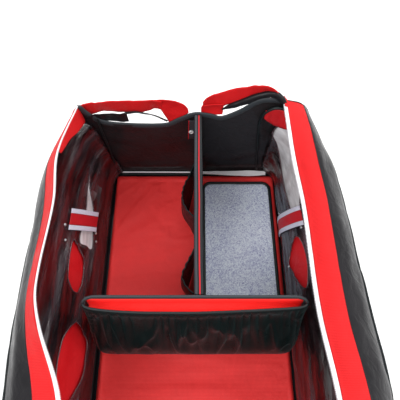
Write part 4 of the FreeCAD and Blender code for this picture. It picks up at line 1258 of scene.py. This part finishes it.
def grab_handles():
    for end, name in ENDS:
        def place(across, down, out, end=end):
            return xyz(across, end * (GRAB_Y + out), GRAB_Z + down)

        handle(f"grab_handle_{name}", f"grab_{name}", place, (0, end, 0), (84, 48, 22, 27),
               (45.5, -48, (6.0, 16.5)), (f"grab_strap_{name}", f"grab_stitching_{name}",
                                          f"grab_padding_{name}", f"grab_grip_{name}"), 4.0)


def webbing_legs():
    """The carry straps' sewn legs up the outside of each wall, with two rows of stitches."""
    for side, _ in SIDES:
        for y0, label in LEGS:
            ys = np.linspace(y0 - 18.5, y0 + 18.5, 9)
            grid, n = wall_grid(side, -LEG_HEIGHT, -1.5, 70, -4.2, swell=False, ys=ys)
            cloth(f"leg_{side}_{label}", grid, 2.4, WEBBING, normals=n, slot="webbing_black",
                  replaces=[f"webbing_legs_{side}"])
            for k, col in enumerate((1, 7)):
                stitches(f"leg_stitching_{side}_{label}_{k}", grid[col] - n[col] * 1.3, -n[1], 5.0,
                         THREAD_BLACK)


def patches():
    """Stitched anchor patches under the handles' hinges."""
    for side, sign in SIDES:
        for y0, label in LEGS:
            wall = wall_line(side, y0)
            foot = at(wall, lengths(wall)[-1] - np.array([LEG_HEIGHT]))[0]
            xs = sorted((foot[0] + sign * 5.2, sign * 333.6))
            pad_block(f"patch_{side}_{label}", xs, (y0 - 21.5, y0 + 21.5), (150.5, 177.5), 0)
    for end, name in ENDS:
        for x, label in ((-84, LEFT), (84, RIGHT)):
            ys = sorted((end * 453.2, end * 458.6))
            pad_block(f"patch_{name}_{label}", (x - 17.5, x + 17.5), ys, (172.5, 201.5), 1)


def pad_block(name, xs, ys, zs, axis):
    """A sewn stack of webbing: a soft-edged block with a sewn groove round its edge, thin along one axis."""
    spans = [xs, ys, zs]
    thin = spans.pop(axis)
    a, b = field((*spans[0], 16), (*spans[1], 14))
    mid = np.full_like(a, (thin[0] + thin[1]) / 2)
    order = [a, b]
    order.insert(axis, mid)
    grid = np.stack(order, -1)
    (a0, a1), (b0, b1) = spans
    edge = np.minimum(np.minimum(a - a0, a1 - a), np.minimum(b - b0, b1 - b))
    profile = 0.62 + 0.38 * ease(edge, 0, 3.5) - 0.1 * np.exp(-((edge - 5.5) / 1.2) ** 2)
    thick = (thin[1] - thin[0]) * profile
    cloth(name, grid, thick[..., None], WEBBING, slot="webbing_black", replaces=["strap_patches"])


def zip_tails():
    """The closed ends of the zip, sewn flat on each end panel."""
    for end, name in ENDS:
        x, z = field((-12.5, 12.5, 15), (196.5, 269.5, 60))
        y = end * (453.6 + 0.25 * noise(x / 8, z / 14, 120))
        cloth(f"zip_tail_{name}", xyz(x, y, z), 0.9, CHAIN, slot="zip_white", replaces=["zip_ends"])
        turns = int(72 / COIL_PITCH)
        t = np.linspace(0, turns * 2 * math.pi, turns * 9)
        line = xyz(2.5 * np.cos(t), end * (455.2 + 1.1 * np.sin(t)), np.linspace(197, 269, len(t)))
        piece(f"zip_tail_coil_{name}", *tube(line, 0.55, 5, up=(0, 1, 0)), COIL, slot="zip_white")


def end_details():
    """What is sewn inside each end wall: corner bindings, a covered tab and a white tape at its foot."""
    for end, name in ENDS:
        path = end_path(end, (-214, 445.5, 266), (-212, 444, 210), (-209, 443.5, 150), (-207, 443, 88),
                        (-204, 441, 40))
        fat = 3.1 + 0.7 * noise(path[:, 2] / 22, 0.0, 131)
        piece(f"corner_binding_{name}", *tube(path, fat, 14, 0.6, up=(1, 0, 0)), EDGING,
              slot="binding_grey")
        path = end_path(end, (164, 445.5, 50), (156, 445.5, 110), (149, 445.5, 180), (143, 445.5, 236),
                        (147, 445.5, 274), (166, 445, 297), (188, 441, 300))
        fat = 3.4 + 0.5 * noise(path[:, 2] / 25, 0.0, 132)
        piece(f"corner_arch_{name}", *tube(path, fat, 12, 0.8, up=(1, 0, 0)), EDGING, slot="coated_black")
        loop = smooth([(30, 52), (62, 54), (63, 72), (31, 70), (30, 52)], 8)
        line = xyz(loop[:, 0], end * 445.6, loop[:, 1])
        piece(f"covered_tab_{name}", *tube(line, 0.9, 6, up=(0, 1, 0), caps=False), EDGING,
              slot="coated_black")
        end_ribbon(f"foot_tape_{name}", end,
                   [(20, 443, 26.8), (60, 440, 26.8), (110, 437, 26.8), (150, 436, 26.8), (190, 439, 26.8)],
                   [(0, 3.2, 4), (0, 6, 7), (1, 9, 10), (0, 10, 12), (0, 7, 7)], 0.9, CHAIN, 0.8,
                   "zip_white")


def end_piping():
    """White piping at the foot of each end wall, wider where the end panel stands off the pad."""
    for end, name in ENDS:
        x = np.linspace(-200, 206, 160)
        lift = 0.8 * noise(x / 40, 0.0, 130)
        line = xyz(x, end * (447.4 + 0 * x), 28.0 + lift + 1.2 * ease(x, 10, 60))
        piece(f"floor_piping_{name}", *tube(line, 1.8 + 1.0 * ease(x, 10, 60), 10), CHAIN, slot="zip_white",
              replaces=["end_piping"])


def carried_over():
    """Hard parts that keep their CAD shape, with these materials."""
    for node in ("base_runners", "base_board"):
        paint(node, PLASTIC)
    for name in ("far", "near"):
        paint(f"zip_slider_{name}", METAL)
        paint(f"zip_pull_{name}", METAL)


def paint(node, material):
    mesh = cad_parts[node].data
    mesh.materials.clear()
    mesh.materials.append(material)


# ---- studio ------------------------------------------------------------------------------------
def studio():
    bpy.ops.mesh.primitive_plane_add(size=9, location=(0, 0, -0.0005))
    ground = bpy.context.object
    ground.name = "studio_floor"
    ground.data.materials.append(hard("pale_paper", (0.93, 0.93, 0.93), (0.97, 0.97, 0.97), 0.9))
    world = bpy.data.worlds.new("studio")
    bpy.context.scene.world = world
    world.use_nodes = True
    sky = world.node_tree.nodes["Background"]
    sky.inputs["Color"].default_value = (1.0, 1.0, 1.0, 1.0)
    sky.inputs["Strength"].default_value = 0.9
    for name, place, size, power in (("key", (-1.2, -1.4, 2.6), 1.8, 60),
                                     ("fill", (1.9, -0.6, 2.2), 1.6, 36),
                                     ("back", (0.3, 2.0, 2.2), 2.0, 42)):
        data = bpy.data.lights.new(name, "AREA")
        data.size, data.energy = size, power
        lamp = bpy.data.objects.new(name, data)
        lamp.location = place
        lamp.rotation_euler = (Vector((0, 0.1, 0.1)) - Vector(place)).to_track_quat("-Z", "Y").to_euler()
        bpy.context.scene.collection.objects.link(lamp)
    data = bpy.data.cameras.new("camera")
    data.lens, data.sensor_width, data.shift_x = 36.3, 36.0, 0.0125
    camera = bpy.data.objects.new("camera", data)
    camera.location = (0.0, -0.106, 0.973)
    camera.rotation_euler = (math.radians(90 - 63.6), 0, 0)
    bpy.context.scene.collection.objects.link(camera)
    bpy.context.scene.camera = camera
    bpy.context.scene.view_settings.view_transform = "Standard"


studio()
outer_walls()
zip_bands()
end_loops()
band_feet()
corner_slack()
end_walls()
floor_pad()
base()
end_piping()
end_details()
long_divider()
mesh_pockets()
snap_tab()
cross_divider()
pouch()
skate_mat()
inner_walls()
rivets()
carry_handles()
grab_handles()
webbing_legs()
patches()
zip_tails()
carried_over()
